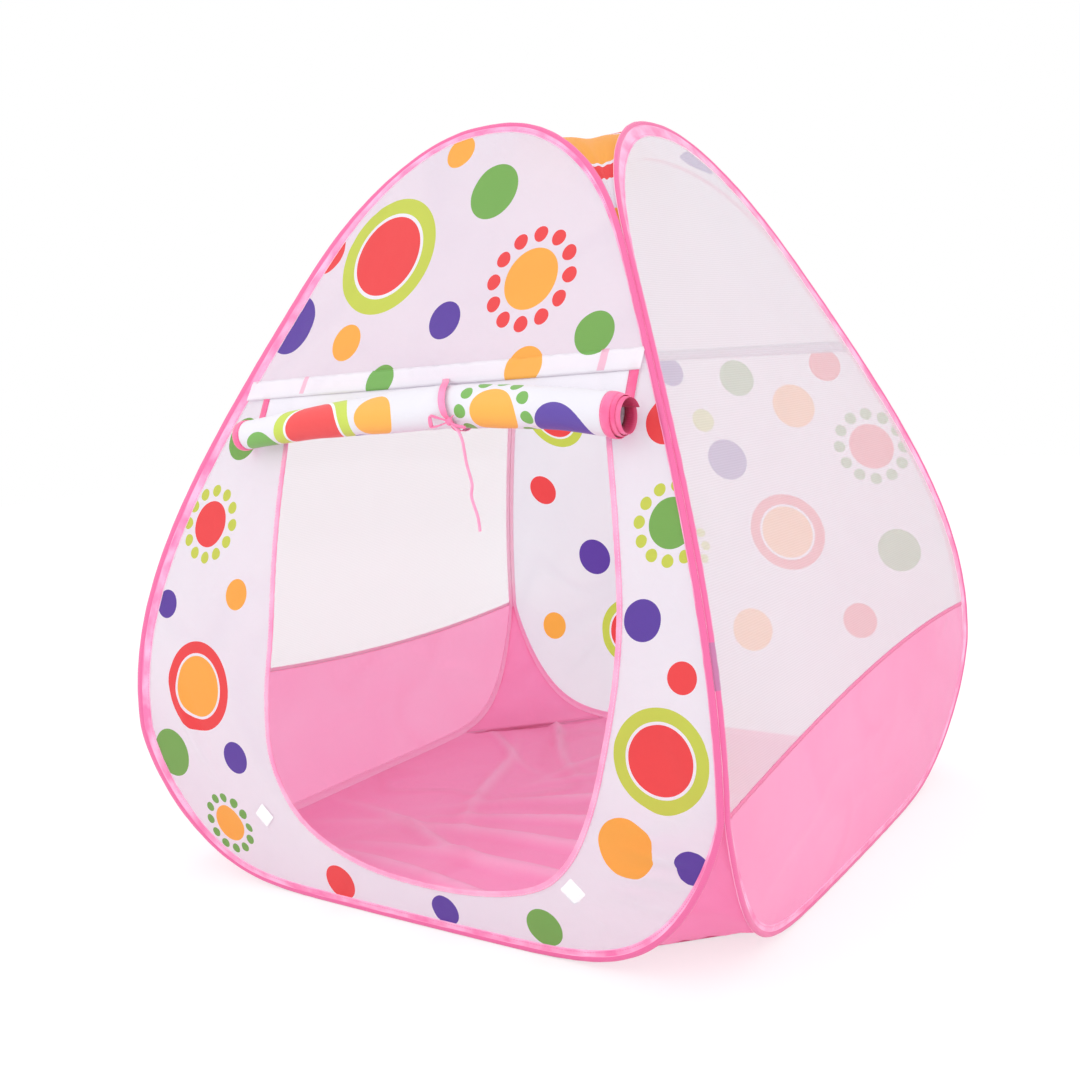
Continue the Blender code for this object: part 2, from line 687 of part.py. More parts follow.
def make_bow(tape):
    """Knot, loop and short end of the bow, fused into one piece."""
    facing = (OUT * math.cos(KNOT_TURN) + DOWN * math.sin(KNOT_TURN)).normalized()
    mesh = bpy.data.meshes.new("door_tie_bow")
    ball = bmesh.new()
    bmesh.ops.create_icosphere(ball, subdivisions=1, radius=KNOT_RADII[0])
    bmesh.ops.scale(ball, vec=[r / KNOT_RADII[0] for r in KNOT_RADII], verts=ball.verts)
    ball.transform(Matrix.Translation(KNOT) @ facing.to_track_quat("-Y", "Z").to_matrix().to_4x4())
    ball.to_mesh(mesh)
    ball.free()
    mesh.materials.append(tape)
    bow = bpy.data.objects.new("door_tie_bow", mesh)
    bpy.context.scene.collection.objects.link(bow)

    half = RIBBON_THICKNESS / 2
    wide = BOW_RIBBON_WIDTH / 2
    root = KNOT + facing * KNOT_RADII[1] / 2
    loop = []
    for k in range(BOW_STATIONS):
        turn = 2 * math.pi * k / BOW_STATIONS
        arm = Vector((math.cos(turn), 0, math.sin(turn)))
        middle = root + Vector((-BOW_LENGTH / 2, 0, 0))
        middle += Vector((arm.x * BOW_LENGTH / 2, 0, arm.z * BOW_HEIGHT / 2))
        loop.append([middle + arm * a + Vector((0, b, 0)) for a, b in
                     ((-half, -wide), (half, -wide), (half, wide), (-half, wide))])
    tip = []
    for k in (0, 1):
        middle = root + Vector((k * BOW_TIP_LENGTH, 0, -k * BOW_TIP_DROP))
        tip.append([middle + Vector((0, b, a)) for a, b in
                    ((-half, -wide), (half, -wide), (half, wide), (-half, wide))])
    for name, rings, closed in (("bow_loop", loop, True), ("bow_tip", tip, False)):
        part = new_object(name, *sweep(rings, closed), tape)
        part.hide_render = True
        part.display_type = "WIRE"
        union = bow.modifiers.new(name, "BOOLEAN")
        union.operation = "UNION"
        union.object = part
    return bow


def make_tail(tape):
    """The long end of the ribbon, hanging from the bow."""
    start = KNOT + Vector(TAIL_LEAVES_KNOT)
    places = [tuple(KNOT + Vector(place)) for place in TAIL_FROM_KNOT]
    route = even_steps(smooth_curve((tuple(start), *places)), TAIL_POINTS)
    curve = bpy.data.curves.new("door_tie_tail", "CURVE")
    curve.dimensions = "3D"
    curve.bevel_depth = TAIL_RADIUS
    curve.bevel_resolution = 2
    curve.use_fill_caps = True
    line = curve.splines.new("POLY")
    line.points.add(len(route) - 1)
    for spot, place in zip(line.points, route):
        spot.co = (*place, 1.0)
    curve.materials.append(tape)
    tail = bpy.data.objects.new("door_tie_tail", curve)
    bpy.context.scene.collection.objects.link(tail)
    return tail


# Side and back walls

def make_side(wall, rise, net, skirt):
    """A side wall: net above and a solid skirt below, meeting on a curved seam."""
    near = station(SEAM_LOW, -1)
    far = station(SKIRT_HIGH, 1)

    def seam(ring_start, ring_end, shift):
        start = ring_start.at(ring_start.tape, 0.0)
        end = ring_end.at(ring_end.tape, 0.0)
        shares = np.linspace(0, 1, SKIRT_EDGE_POINTS)[1:-1]
        return [(start.x + (end.x - start.x) * t,
                 start.z + (end.z - start.z) * t + rise * 4 * t * (1 - t) + shift) for t in shares]

    upper = loop_run(LOOPS[wall], far, near, GAP / 2)
    lower = loop_run(LOOPS[wall], near, far, GAP / 2)
    upper_edge = seam(upper[-1], upper[0], 0.0)
    lower_edge = seam(lower[-1], lower[0], -GAP)
    return [
        cloth_panel(f"{wall}_net_panel", [(upper, TUCK), upper_edge], net, wall),
        cloth_panel(f"{wall}_skirt_panel", [(lower, TUCK), lower_edge], skirt, wall),
    ]


def make_back(cloth):
    """The printed back wall, in one piece."""
    return cloth_panel("back_panel", [(LOOPS["back"], TUCK)], cloth, "back")


# Floor, gussets and roof cap, which join the loops where they part

BEHIND_TAPE = -(TAPE_RADIUS + GAP + CLOTH / 2)


def edge_behind(place_number):
    """A point behind the front loop's tape, and its mirror on the right loop."""
    front = LOOP[place_number].at(0.0, BEHIND_TAPE)
    return front, Vector((-front.y, -front.x, front.z))


GUSSET_TOP = station(SEAM_LOW, 1)
GUSSET_FOOT = min(range(GUSSET_TOP), key=lambda i: abs(LOOP[i].point.x - GUSSET_START))


def make_gusset(corner, turns, finish):
    """A corner gusset of the floor, rising in the gap between two loops."""
    points = []
    for number in range(GUSSET_FOOT, GUSSET_TOP + 1):
        front, right = edge_behind(number)
        for k in range(GUSSET_COLUMNS + 1):
            points.append(front.lerp(right, k / GUSSET_COLUMNS))
    lift = FLOOR_THICKNESS + GAP
    for point in points[:GUSSET_COLUMNS + 1]:
        point.z = lift
    return finish_patch(f"corner_gusset_{corner}", points, GUSSET_COLUMNS + 1, turns, finish)


def finish_patch(name, points, row, turns, finish):
    """A cloth solid from rows of points, turned by quarter turns about Z."""
    faces = []
    for i in range(len(points) // row - 1):
        for k in range(row - 1):
            a = i * row + k
            faces.append((a, a + 1, a + 1 + row, a + row))
    normals = patch_normals(points, faces)
    solid, closed = thicken(points, normals, faces, CLOTH)
    return new_object(name, solid, closed, finish, WALLS[turns])


def patch_normals(points, faces):
    """Average outward normals of a sheet that faces away from the middle of the tent."""
    middle = Vector((0, 0, HEIGHT / 2))
    sums = [Vector() for _ in points]
    for face in faces:
        a, b, c = (points[face[k]] for k in range(3))
        normal = (b - a).cross(c - b)
        if normal.dot(a - middle) < 0:
            normal = -normal
        for i in face:
            sums[i] += normal
    return [n.normalized() for n in sums]


def make_floor(finish):
    """The flat floor, cut across its corners where the gussets start."""
    side = [LOOP[i].at(0.0, BEHIND_TAPE) for i in range(GUSSET_FOOT + 1)]
    outline = []
    for turns in range(4):
        turn = Matrix.Rotation(turns * math.pi / 2, 3, "Z")
        for point in [Vector((-p.x, p.y, p.z)) for p in reversed(side[1:])] + side:
            flat = turn @ Vector((point.x, min(point.y, 0) + GAP, 0))
            outline.append((flat.x, flat.y))
    points = [Vector((x, y, 0.0)) for x, y in outline]
    points += [Vector((x, y, FLOOR_THICKNESS)) for x, y in outline]
    count = len(outline)
    faces = [tuple(reversed(range(count))), tuple(range(count, 2 * count))]
    for i in range(count):
        j = (i + 1) % count
        faces.append((i, j, j + count, i + count))
    return new_object("floor_panel", points, faces, finish)


def make_cap(finish):
    """The roof cap: a sagging square between the loops' tops with a point down each corner gap."""
    low = station(SEAM_HIGH, 1)
    apex = len(HALF_LOOP) - 1
    corner = []
    for number in range(low, apex + 1):
        front, right = edge_behind(number)
        spread = (front - right).length / (LOOP[apex].point - edge_behind(apex)[1]).length
        row = []
        for k in range(CAP_COLUMNS + 1):
            share = k / CAP_COLUMNS
            sag = CAP_SAG * spread ** 2 * 2 * share * (1 - share)
            row.append(front.lerp(right, share) - Vector((0, 0, sag)))
        corner.append(row)
    points = []
    faces = []
    lookup = {}

    def number_of(point):
        key = tuple(round(c / GAP) for c in point)
        if key not in lookup:
            lookup[key] = len(points)
            points.append(point)
        return lookup[key]

    for turns in range(4):
        turn = Matrix.Rotation(turns * math.pi / 2, 3, "Z")
        rows = [[number_of(turn @ p) for p in row] for row in corner]
        for upper, lower in zip(rows, rows[1:]):
            for k in range(CAP_COLUMNS):
                faces.append((upper[k], upper[k + 1], lower[k + 1], lower[k]))
        peak = corner[-1][0]
        centre = Vector((0, 0, peak.z - CAP_SAG))
        middle = number_of(centre)
        half_row = [number_of(turn @ (p.lerp(centre, 0.5) - Vector((0, 0, CAP_SAG / 8)))) for p in corner[-1]]
        for k in range(CAP_COLUMNS):
            faces.append((rows[-1][k], rows[-1][k + 1], half_row[k + 1], half_row[k]))
            faces.append((half_row[k], half_row[k + 1], middle))
    solid, closed = thicken(points, patch_normals(points, faces), faces, CLOTH)
    return new_object("roof_cap", solid, closed, finish)


# Hinge lines

def seam_slope():
    """Distance that a corner seam's chord leans in for each metre of height."""
    return (half_width(SEAM_LOW) - half_width(SEAM_HIGH)) / (SEAM_HIGH - SEAM_LOW)


def fold_axis(side_x, side_y, offset):
    """Point and direction of a corner fold line, through the point where all the lines meet."""
    reach = half_width(SEAM_LOW) + offset
    foot = Vector((side_x * reach, side_y * reach, SEAM_LOW))
    meeting = Vector((0, 0, SEAM_LOW + half_width(SEAM_LOW) / seam_slope()))
    return foot, (meeting - foot).normalized()


def hinge(name, place, direction, parent, pieces):
    """An empty on a hinge line, with its local Z along the line, that carries pieces."""
    empty = bpy.data.objects.new(name, None)
    bpy.context.scene.collection.objects.link(empty)
    empty.matrix_world = Matrix.Translation(place) @ direction.to_track_quat("Z", "Y").to_matrix().to_4x4()
    if parent is not None:
        empty.parent = parent
        empty.matrix_parent_inverse = parent.matrix_world.inverted()
    bpy.context.view_layer.update()
    for piece in pieces:
        piece.parent = empty
        piece.matrix_parent_inverse = empty.matrix_world.inverted()
    print(name, [round(v, 5) for v in place], [round(v, 5) for v in direction])
    return empty


def main():
    clear_scene()
    tape = material("polyester_tape", PINK, 0.6)
    pale_tape = material("pale_polyester_tape", PALE_PINK, 0.6)
    print_cloth = material("printed_polyester", WHITE, 0.7)
    net = material("polyester_net", NET_WHITE, 0.8)
    pink_cloth = material("pink_polyester", PALE_PINK, 0.6)
    steel = material("spring_steel", STEEL, 0.35, 1.0)
    joint_steel = material("taped_joint", LILAC, 0.5)
    hook = material("hook_and_loop", WHITE, 0.9)

    walls = {}
    for wall in WALLS:
        walls[wall] = make_loop(wall, tape, steel)
        walls[wall][1].data.materials[0] = joint_steel
    front = make_front(print_cloth, pale_tape)
    bpy.context.view_layer.update()
    for number, (share, rise) in enumerate(zip(PATCH_DOOR_SHARES, PATCH_RISES)):
        place = (DOOR_CENTRE + DOOR_HALF_WIDTH * share, DOOR_SILL + rise)
        make_patch(number, place, front[1], hook)
    walls["right"] += make_side("right", RIGHT_SKIRT_RISE, net, pink_cloth)
    walls["left"] += make_side("left", LEFT_SKIRT_RISE, net, pink_cloth)
    walls["back"].append(make_back(print_cloth))
    for turns, corner in enumerate(("front_right", "back_right", "back_left", "front_left")):
        make_gusset(corner, turns, pink_cloth)
    make_floor(pink_cloth)
    make_cap(print_cloth)
    door = make_flap(print_cloth, tape)
    door += [make_ribbon(tape), make_bow(tape), make_tail(tape)]

    place, direction = fold_axis(1, -1, -CLOSING_FOLD_INSET)
    right = hinge("front_right_fold_axis", place, direction, None, walls["right"])
    place, direction = fold_axis(1, 1, OPENING_FOLD_OUTSET)
    hinge("right_back_fold_axis", place, direction, right, walls["back"])
    place, direction = fold_axis(-1, -1, OPENING_FOLD_OUTSET)
    hinge("front_left_fold_axis", place, direction, None, walls["left"])
    clear = FLAP_OUT + FLAP_CLOTH / 2 + GAP + WALL_CROWN
    left_end = hang(ROLL_LEFT, clear, 0.0)
    right_end = hang(ROLL_RIGHT, clear, 0.0)
    hinge("door_swing_axis", (left_end + right_end) / 2, (left_end - right_end).normalized(), None, door)
    print("knot", [round(v, 4) for v in KNOT])


main()
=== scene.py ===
# %% [markdown]
# # Dressing a children's pop-up play tent
# The tent is four sprung wire loops, each sewn into the edge of a cloth or net wall. This lesson puts
# thin cloth, taped edges, a rolled door and a printed pattern on the fixed frame of solids, piece by piece.
# Everything is in metres, with Z up and the front wall towards -Y, in the frame's own coordinates.

# %% Load the frame
import math

import bmesh
import bpy
import numpy as np
from mathutils import Matrix, Vector
from mathutils.geometry import delaunay_2d_cdt


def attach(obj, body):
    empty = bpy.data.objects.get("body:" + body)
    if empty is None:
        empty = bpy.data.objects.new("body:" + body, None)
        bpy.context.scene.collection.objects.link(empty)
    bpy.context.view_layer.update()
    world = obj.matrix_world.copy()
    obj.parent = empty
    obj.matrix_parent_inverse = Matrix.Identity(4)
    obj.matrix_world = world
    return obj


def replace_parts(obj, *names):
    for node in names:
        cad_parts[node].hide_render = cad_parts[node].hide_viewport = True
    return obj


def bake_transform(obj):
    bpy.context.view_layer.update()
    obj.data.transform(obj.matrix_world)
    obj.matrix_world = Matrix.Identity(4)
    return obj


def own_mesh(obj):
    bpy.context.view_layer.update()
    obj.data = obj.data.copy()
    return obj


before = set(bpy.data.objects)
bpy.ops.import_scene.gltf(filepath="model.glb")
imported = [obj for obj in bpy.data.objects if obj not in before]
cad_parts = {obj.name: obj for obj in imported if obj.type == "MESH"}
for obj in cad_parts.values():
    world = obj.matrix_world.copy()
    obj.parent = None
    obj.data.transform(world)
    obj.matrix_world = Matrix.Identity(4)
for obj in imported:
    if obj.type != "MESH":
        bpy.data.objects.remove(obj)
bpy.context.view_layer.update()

# %% [markdown]
# ## Camera
# The photograph looks down a little on the front right corner from about two metres away. The camera is
# placed from a fit of the tent's corner seams and tops, and a small shift centres the view as the photo does.

# %% Camera
CAMERA_PLACE = Vector((1.0005, -1.5581, 0.6781))
CAMERA_RIGHT = Vector((0.8432, 0.5350, -0.0532))
CAMERA_FORWARD = Vector((-0.5376, 0.8372, -0.1008))
forward = CAMERA_FORWARD.normalized()
right = (CAMERA_RIGHT - forward * CAMERA_RIGHT.dot(forward)).normalized()
upward = right.cross(forward)
lens = bpy.data.cameras.new("camera")
lens.lens = 41.76
lens.sensor_width = 36.0
lens.shift_x = -0.0314
lens.shift_y = -0.0455
camera = bpy.data.objects.new("camera", lens)
bpy.context.scene.collection.objects.link(camera)
turned = Matrix((right, upward, -forward)).transposed()
camera.matrix_world = Matrix.Translation(CAMERA_PLACE) @ turned.to_4x4()
bpy.context.scene.camera = camera
print("camera looks along", [round(v, 3) for v in forward])

# %% [markdown]
# ## One function for nodes, one for colours
# A material is a small graph. `node` adds one node, sets its properties and fills or links its inputs, so
# each finish below reads as a list of steps. Colours are written as sRGB hex values, as a paint chart
# gives them, and turned to the linear values that light works in.


# %% Node and colour helpers
def linear(code):
    """Linear RGBA of an sRGB hex colour."""
    parts = [int(code[k:k + 2], 16) / 255 for k in (1, 3, 5)]
    return tuple(c / 12.92 if c <= 0.04045 else ((c + 0.055) / 1.055) ** 2.4 for c in parts) + (1.0,)


def node(tree, kind, inputs=None, **settings):
    """Add a node; inputs are values or the output sockets that feed them, by name or number."""
    made = tree.nodes.new("ShaderNode" + kind)
    for name, value in settings.items():
        setattr(made, name, value)
    for name, value in (inputs or {}).items():
        if isinstance(value, bpy.types.NodeSocket):
            tree.links.new(value, made.inputs[name])
        else:
            made.inputs[name].default_value = value
    return made


def new_material(name):
    """An empty material: its name, its tree and its output node."""
    made = bpy.data.materials.new(name)
    made.use_nodes = True
    made.node_tree.nodes.clear()
    return made, made.node_tree, made.node_tree.nodes.new("ShaderNodeOutputMaterial")


print("hot pink is", [round(v, 3) for v in linear("#F0508C")])

# %% [markdown]
# ## The wall surface
# Every wall is the same barrel-like shape, so it is drawn once as the front wall in two numbers, across and
# height, and turned about Z to its side. The half width at a height is one smooth curve, and the cloth
# crowns outwards by a few millimetres in its middle.

# %% Wall shape
HEIGHT = 1.0
HALF_WIDTH = 0.449
PROFILE_HEIGHTS = (0.0, 0.15, 0.35, 0.60, 0.85, 1.0)
PROFILE_SHARES = (0.928, 0.991, 0.976, 0.794, 0.5285, 0.344)
WALL_CROWN = 0.007
WALLS = ("front", "right", "back", "left")
PROFILE = np.polyfit(PROFILE_HEIGHTS, PROFILE_SHARES, len(PROFILE_HEIGHTS) - 1)
SLOPE = np.polyder(PROFILE)


def half_width(height):
    """Distance of the wall from the middle of the tent."""
    return HALF_WIDTH * np.polyval(PROFILE, np.asarray(height) / HEIGHT)


def unit(rows):
    """Directions in rows, each brought to a length of one."""
    return rows / np.linalg.norm(rows, axis=1)[:, None]


def wall_normals(places):
    """Outward directions of the front wall at (across, height) rows."""
    across, height = places[:, 0], places[:, 1]
    lean = 2 * WALL_CROWN * across / half_width(height) ** 2
    slope = HALF_WIDTH / HEIGHT * np.polyval(SLOPE, height / HEIGHT)
    return unit(np.stack([lean, -np.ones_like(lean), -slope], axis=1))


def wall_points(places, out=0.0):
    """Points of the front wall at (across, height) rows, moved outwards."""
    across, height = places[:, 0], places[:, 1]
    half = half_width(height)
    crown = WALL_CROWN * np.maximum(0.0, 1 - (across / half) ** 2)
    rows = np.stack([across, -half - crown, height], axis=1)
    return rows + wall_normals(places) * np.reshape(out, (-1, 1))


def to_wall(points, wall):
    """Turn rows of points from the front wall to another wall."""
    turn = WALLS.index(wall) * math.pi / 2
    cos, sin = math.cos(turn), math.sin(turn)
    points = np.asarray(points, float)
    return np.stack([points[:, 0] * cos - points[:, 1] * sin, points[:, 0] * sin + points[:, 1] * cos,
                     points[:, 2]], axis=1)


print("half width at the ground, the widest and the top",
      [round(float(half_width(h)), 3) for h in (0, 0.2, 1)])

# %% [markdown]
# ## The sprung loops
# Each loop runs up a corner seam beside its neighbour's and parts from it at the top and at the foot. Two
# power curves round the bottom and top corners. The loop is sampled every few millimetres, so that the
# puckers of the tape that is sewn round it can be modelled as shape and not only as shading.

# %% Loop curve
TAPE_RADIUS = 0.0033
GAP = 0.0003
CLOTH = 0.0010
SEAM_LOW = 0.207
SEAM_HIGH = 0.786
CORNER_INSET = (2 * TAPE_RADIUS + GAP) / math.sqrt(2) + GAP / 2
STATION_STEP = 0.0035
FOOT_RISE_POWER, FOOT_REACH_POWER = 1.667, 0.289
TOP_RISE_POWER, TOP_REACH_POWER = 0.583, 0.837


def distances_along(rows):
    """Distance of each point from the first, along a line of points."""
    return np.concatenate(([0.0], np.cumsum(np.linalg.norm(np.diff(rows, axis=0), axis=1))))


def even_steps(rows, step=None, count=None):
    """Points at even distances along a densely drawn curve."""
    rows = np.asarray(rows, float)
    lengths = distances_along(rows)
    count = count or max(2, round(lengths[-1] / step) + 1)
    wanted = np.linspace(0.0, lengths[-1], count)
    return np.stack([np.interp(wanted, lengths, rows[:, k]) for k in range(rows.shape[1])], axis=1)


def loop_half():
    """Right half of a loop in (across, height), from the bottom middle to the top middle."""
    low, high = TAPE_RADIUS, HEIGHT - TAPE_RADIUS
    turns = np.linspace(0.0, math.pi / 2, 1500)
    heights = low + (SEAM_LOW - low) * (1 - np.cos(turns) ** FOOT_RISE_POWER)
    reach = half_width(heights) - CORNER_INSET
    bottom = np.stack([reach * np.sin(turns) ** FOOT_REACH_POWER, heights], axis=1)
    seam_heights = np.linspace(SEAM_LOW, SEAM_HIGH, 400)
    seam = np.stack([half_width(seam_heights) - CORNER_INSET, seam_heights], axis=1)
    heights = SEAM_HIGH + (high - SEAM_HIGH) * np.sin(turns) ** TOP_RISE_POWER
    reach = half_width(heights) - CORNER_INSET
    top = np.stack([reach * np.cos(turns).clip(0) ** TOP_REACH_POWER, heights], axis=1)
    return even_steps(np.concatenate([bottom, seam[1:], top[1:]]), STATION_STEP)


HALF = loop_half()
HALF[0, 0] = HALF[-1, 0] = 0.0
LOOP = np.concatenate([HALF, HALF[-2:0:-1] * (-1, 1)])
PERIMETER = STATION_STEP * len(LOOP)
print(len(LOOP), "stations round a loop of", round(PERIMETER, 2), "m")


# %% [markdown]
# ## Directions along an edge, and the tapes' widths
# Anything sewn along an edge needs three directions at each station: along the edge, out of the cloth and
# into the cloth. The edge tapes aren't equally wide: the side walls carry a broad one and the front wall a
# slim one, and each seam shows a different share of the two that meet there.


# %% Frames along an edge
def frames_along(places, closed, turn=1.0):
    """Point, run, outward and inward directions at (across, height) rows along an edge."""
    points = wall_points(places)
    normals = wall_normals(places)
    if closed:
        run = np.roll(points, -1, axis=0) - np.roll(points, 1, axis=0)
    else:
        run = np.gradient(points, axis=0)
    run = unit(run)
    normals = unit(normals - run * (normals * run).sum(1)[:, None])
    return points, run, normals, np.cross(normals, run) * turn


TAPE_FOOT = 0.011
TAPE_TOPS = {"front": 0.0110, "right": 0.021, "back": 0.0085, "left": 0.021}
TAPE_LEFTS = {"front": 0.0175, "right": 0.0046, "back": 0.0080, "left": 0.0042}
TAPE_RIGHTS = {"front": 0.0040, "right": 0.0200, "back": 0.0042, "left": 0.0140}


def tape_widths(wall):
    """Width of a wall's edge tape at each station, from the wire's middle; each side shows its own width."""
    seams = np.where(LOOP[:, 0] < 0, TAPE_LEFTS[wall], TAPE_RIGHTS[wall])
    low = np.clip(LOOP[:, 1] / SEAM_LOW, 0, 1)
    high = np.clip((LOOP[:, 1] - SEAM_HIGH) / (HEIGHT - SEAM_HIGH), 0, 1)
    return TAPE_FOOT + (seams - TAPE_FOOT) * low + (TAPE_TOPS[wall] - seams) * high


LOOP_FRAMES = frames_along(LOOP, closed=True)
LOOP_TAPES = {wall: tape_widths(wall) for wall in WALLS}
print("tape from", round(LOOP_TAPES["right"].min(), 4), "to", LOOP_TAPES["right"].max(), "m wide")

# %% [markdown]
# ## Meshes from points
# One function makes a mesh object: it takes points, faces, flat cloth coordinates for its UV map, and a
# finish. The UV map holds real metres on the flat cloth, so that prints and weave keep their size and don't
# slide when the tent folds.
#
# A wall's cloth crosses two corners that fold, and a piece can bend over one joint only. So each wall's
# pieces are cut at the wall's middle line into halves: the two halves by the back left corner move with their
# own walls, and every other half is only baked where it stands. The floor is cut along its diagonals instead,
# and each quarter moves with its own wall. The parts keep the normals of the whole, so the cuts don't show.

# %% Mesh helpers and halves
BEND = 0.05


def new_piece(name, points, faces, flat=None, finish=None, smooth=True):
    """A mesh object from points, faces and flat cloth coordinates in metres."""
    mesh = bpy.data.meshes.new(name)
    mesh.from_pydata([tuple(map(float, p)) for p in points], [], [tuple(map(int, f)) for f in faces])
    mesh.validate()
    if flat is not None:
        layer = mesh.uv_layers.new(name="flat")
        corners = np.empty(len(mesh.loops), np.int32)
        mesh.loops.foreach_get("vertex_index", corners)
        layer.data.foreach_set("uv", np.asarray(flat, np.float32)[corners].ravel())
    if smooth:
        mesh.shade_smooth()
    thing = bpy.data.objects.new(name, mesh)
    bpy.context.scene.collection.objects.link(thing)
    if finish is not None:
        mesh.materials.append(finish)
    return thing


def grid_faces(rows, columns, ring=False):
    """Faces between rows of points; in a ring each row closes on itself, and both ends are capped."""
    faces = []
    for r in range(rows - 1):
        here, there = r * columns, (r + 1) * columns
        for k in range(columns if ring else columns - 1):
            beside = (k + 1) % columns
            faces.append((here + k, here + beside, there + beside, there + k))
    if ring:
        faces += [tuple(range(columns)), tuple((rows - 1) * columns + k for k in range(columns))]
    return faces


def fold_with(piece, wall, side):
    """Bake a wall's right (+1) or left (-1) half where it stands if it lies by a folding corner, else attach
    it to its wall's body.
    """
    rising = ((-BEND / 2, -BEND / 2, 0), (BEND / 2, BEND / 2, 0))
    falling = ((BEND / 2, -BEND / 2, 0), (-BEND / 2, BEND / 2, 0))
    bends = {("front", 1): ("front_wall", "right_wall", *rising),
             ("front", -1): ("front_wall", "left_wall", *falling),
             ("right", -1): ("front_wall", "right_wall", *rising),
             ("right", 1): ("right_wall", "back_wall", *falling),
             ("back", -1): ("right_wall", "back_wall", *falling),
             ("left", 1): ("front_wall", "left_wall", *falling)}
    if (wall, side) in bends:
        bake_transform(piece)
    else:
        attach(piece, f"{wall}_wall")
    return piece


def normals_of(name, points, faces):
    """The smooth normals that a sheet has at its points before it is cut."""
    whole = new_piece(name, points, faces)
    shade = [tuple(n.vector) for n in whole.data.vertex_normals]
    bpy.data.objects.remove(whole)
    return shade


def cut_out(name, points, faces, flat, finish, shade=None):
    """A piece from some of a sheet's faces; points, flat and shade are those of the whole sheet."""
    used = sorted({i for f in faces for i in f})
    number = {v: k for k, v in enumerate(used)}
    piece = new_piece(name, [points[i] for i in used], [tuple(number[i] for i in f) for f in faces],
                      [flat[i] for i in used], finish)
    if shade is not None:
        piece.data.normals_split_custom_set_from_vertices([shade[i] for i in used])
    return piece


def halves(name, points, faces, flat, finish, wall, across):
    """Cut a wall's piece at its middle line into a right and a left half that keep its normals."""
    points = to_wall(points, wall)
    shade = normals_of(name, points, faces)
    middles = [np.mean([across[i] for i in f]) for f in faces]
    made = []
    for side, word in ((1, "right"), (-1, "left")):
        kept = [f for f, m in zip(faces, middles) if m * side > 0]
        piece = cut_out(f"{name}_{word}", points, kept, flat, finish, shade)
        made.append(fold_with(piece, wall, side))
    return made


def quarters(name, points, faces, flat, finish, solid):
    """Cut a level sheet along its diagonals into four, each attached to its own wall's body."""
    shade = normals_of(name, points, faces)
    x, y = np.array([points[list(f), :2].mean(0) for f in faces]).T
    level = np.abs(x) <= np.abs(y)
    made = []
    for wall, fold, axis, kept in (("front", "fold_front_right", (0, -1, 0), level & (y < 0)),
                                   ("right", "fold_front_right", (1, 0, 0), ~level & (x > 0)),
                                   ("back", "fold_right_back", (0, 1, 0), level & (y >= 0)),
                                   ("left", "fold_front_left", (-1, 0, 0), ~level & (x <= 0))):
        chosen = [faces[i] for i in np.flatnonzero(kept)]
        piece = cut_out(f"{name}_{wall}", points, chosen, flat, finish, shade)
        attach(piece, f"{wall}_wall")
        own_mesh(piece)
        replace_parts(piece, solid)
        made.append(piece)
    return made


print("cloth bends over the last", BEND * 1000, "mm at a corner")

# %% [markdown]
# ## The hanging end of the tie
# The long end of the ribbon is the only free cord. It leaves the bow, falls over the front of the rolled
# door and hangs down in front of the opening, limp, with a bare end. It is a poly line of real length with a
# thin tube round it, and its points are those of the frame's own tail.

# %% Tail route
HEADER_LEFT = 0.657
HEADER_RIGHT = 0.675
TIE_ACROSS = 0.0915
KNOT_TURN = 0.297 * math.pi
KNOT_RADII = (0.0050, 0.0035, 0.0048)
TAIL_DIAMETER = 0.0036
OUT = wall_normals(np.array([(0.0, HEADER_LEFT)]))[0]
DOWN = np.cross((1, 0, 0), OUT)
TAIL_LEAVES = np.array((0.0031, 0.0012, -0.0041))
TAIL_FROM_KNOT = ((0.0112, 0.0007, -0.0100), (0.0172, 0.0002, -0.0215), (0.0192, 0.0002, -0.0325),
                  (0.0212, 0.0007, -0.0490), (0.0252, 0.0007, -0.0640), (0.0274, 0.0007, -0.0745),
                  (0.0250, 0.0012, -0.0870), (0.0270, 0.0017, -0.0965), (0.0320, 0.0022, -0.1130),
                  (0.0334, 0.0027, -0.1290))


def smooth_curve(places, per_span=12):
    """A curve through places that bends smoothly at each of them."""
    knots = [np.array(p, float) for p in places]
    knots = [2 * knots[0] - knots[1]] + knots + [2 * knots[-1] - knots[-2]]
    curve = []
    for a, b, c, d in zip(knots, knots[1:], knots[2:], knots[3:]):
        for t in np.linspace(0, 1, per_span, endpoint=False):
            curve.append(0.5 * (2 * b + (c - a) * t + (2 * a - 5 * b + 4 * c - d) * t ** 2
                                + (3 * b - a - 3 * c + d) * t ** 3))
    curve.append(knots[-2])
    return np.array(curve)


def header_height(across):
    """Height of the header seam along the front wall, which climbs a little to the right."""
    reach = half_width(HEADER_LEFT)
    return HEADER_LEFT + (HEADER_RIGHT - HEADER_LEFT) * (across + reach) / (2 * reach)


print("the header climbs", round(1000 * (HEADER_RIGHT - HEADER_LEFT)), "mm from left to right")

# %% [markdown]
# ## Printed polyester
# The printed walls are polyester taffeta: a thin, closely woven cloth with a slight sheen that lets some
# light through. It is dyed white with a hint of lilac, and its print is screen printed. The print here is a
# plain design of its own, of dots, ringed discs and wreaths of beads, in the colours and at the scale that
# such tents have. Each motif is a distance from a point on the flat cloth, compared with a radius.

# %% Print layouts
RED, GREEN, LIME, ORANGE, VIOLET = "#EF4A4C", "#78B457", "#C9DB55", "#FBB44A", "#5E43A6"
STRIP_PINK, PALE_STRIP_PINK = "#F76FA8", "#F9A9CB"
CLOTH_WHITE = "#F1F5F9"

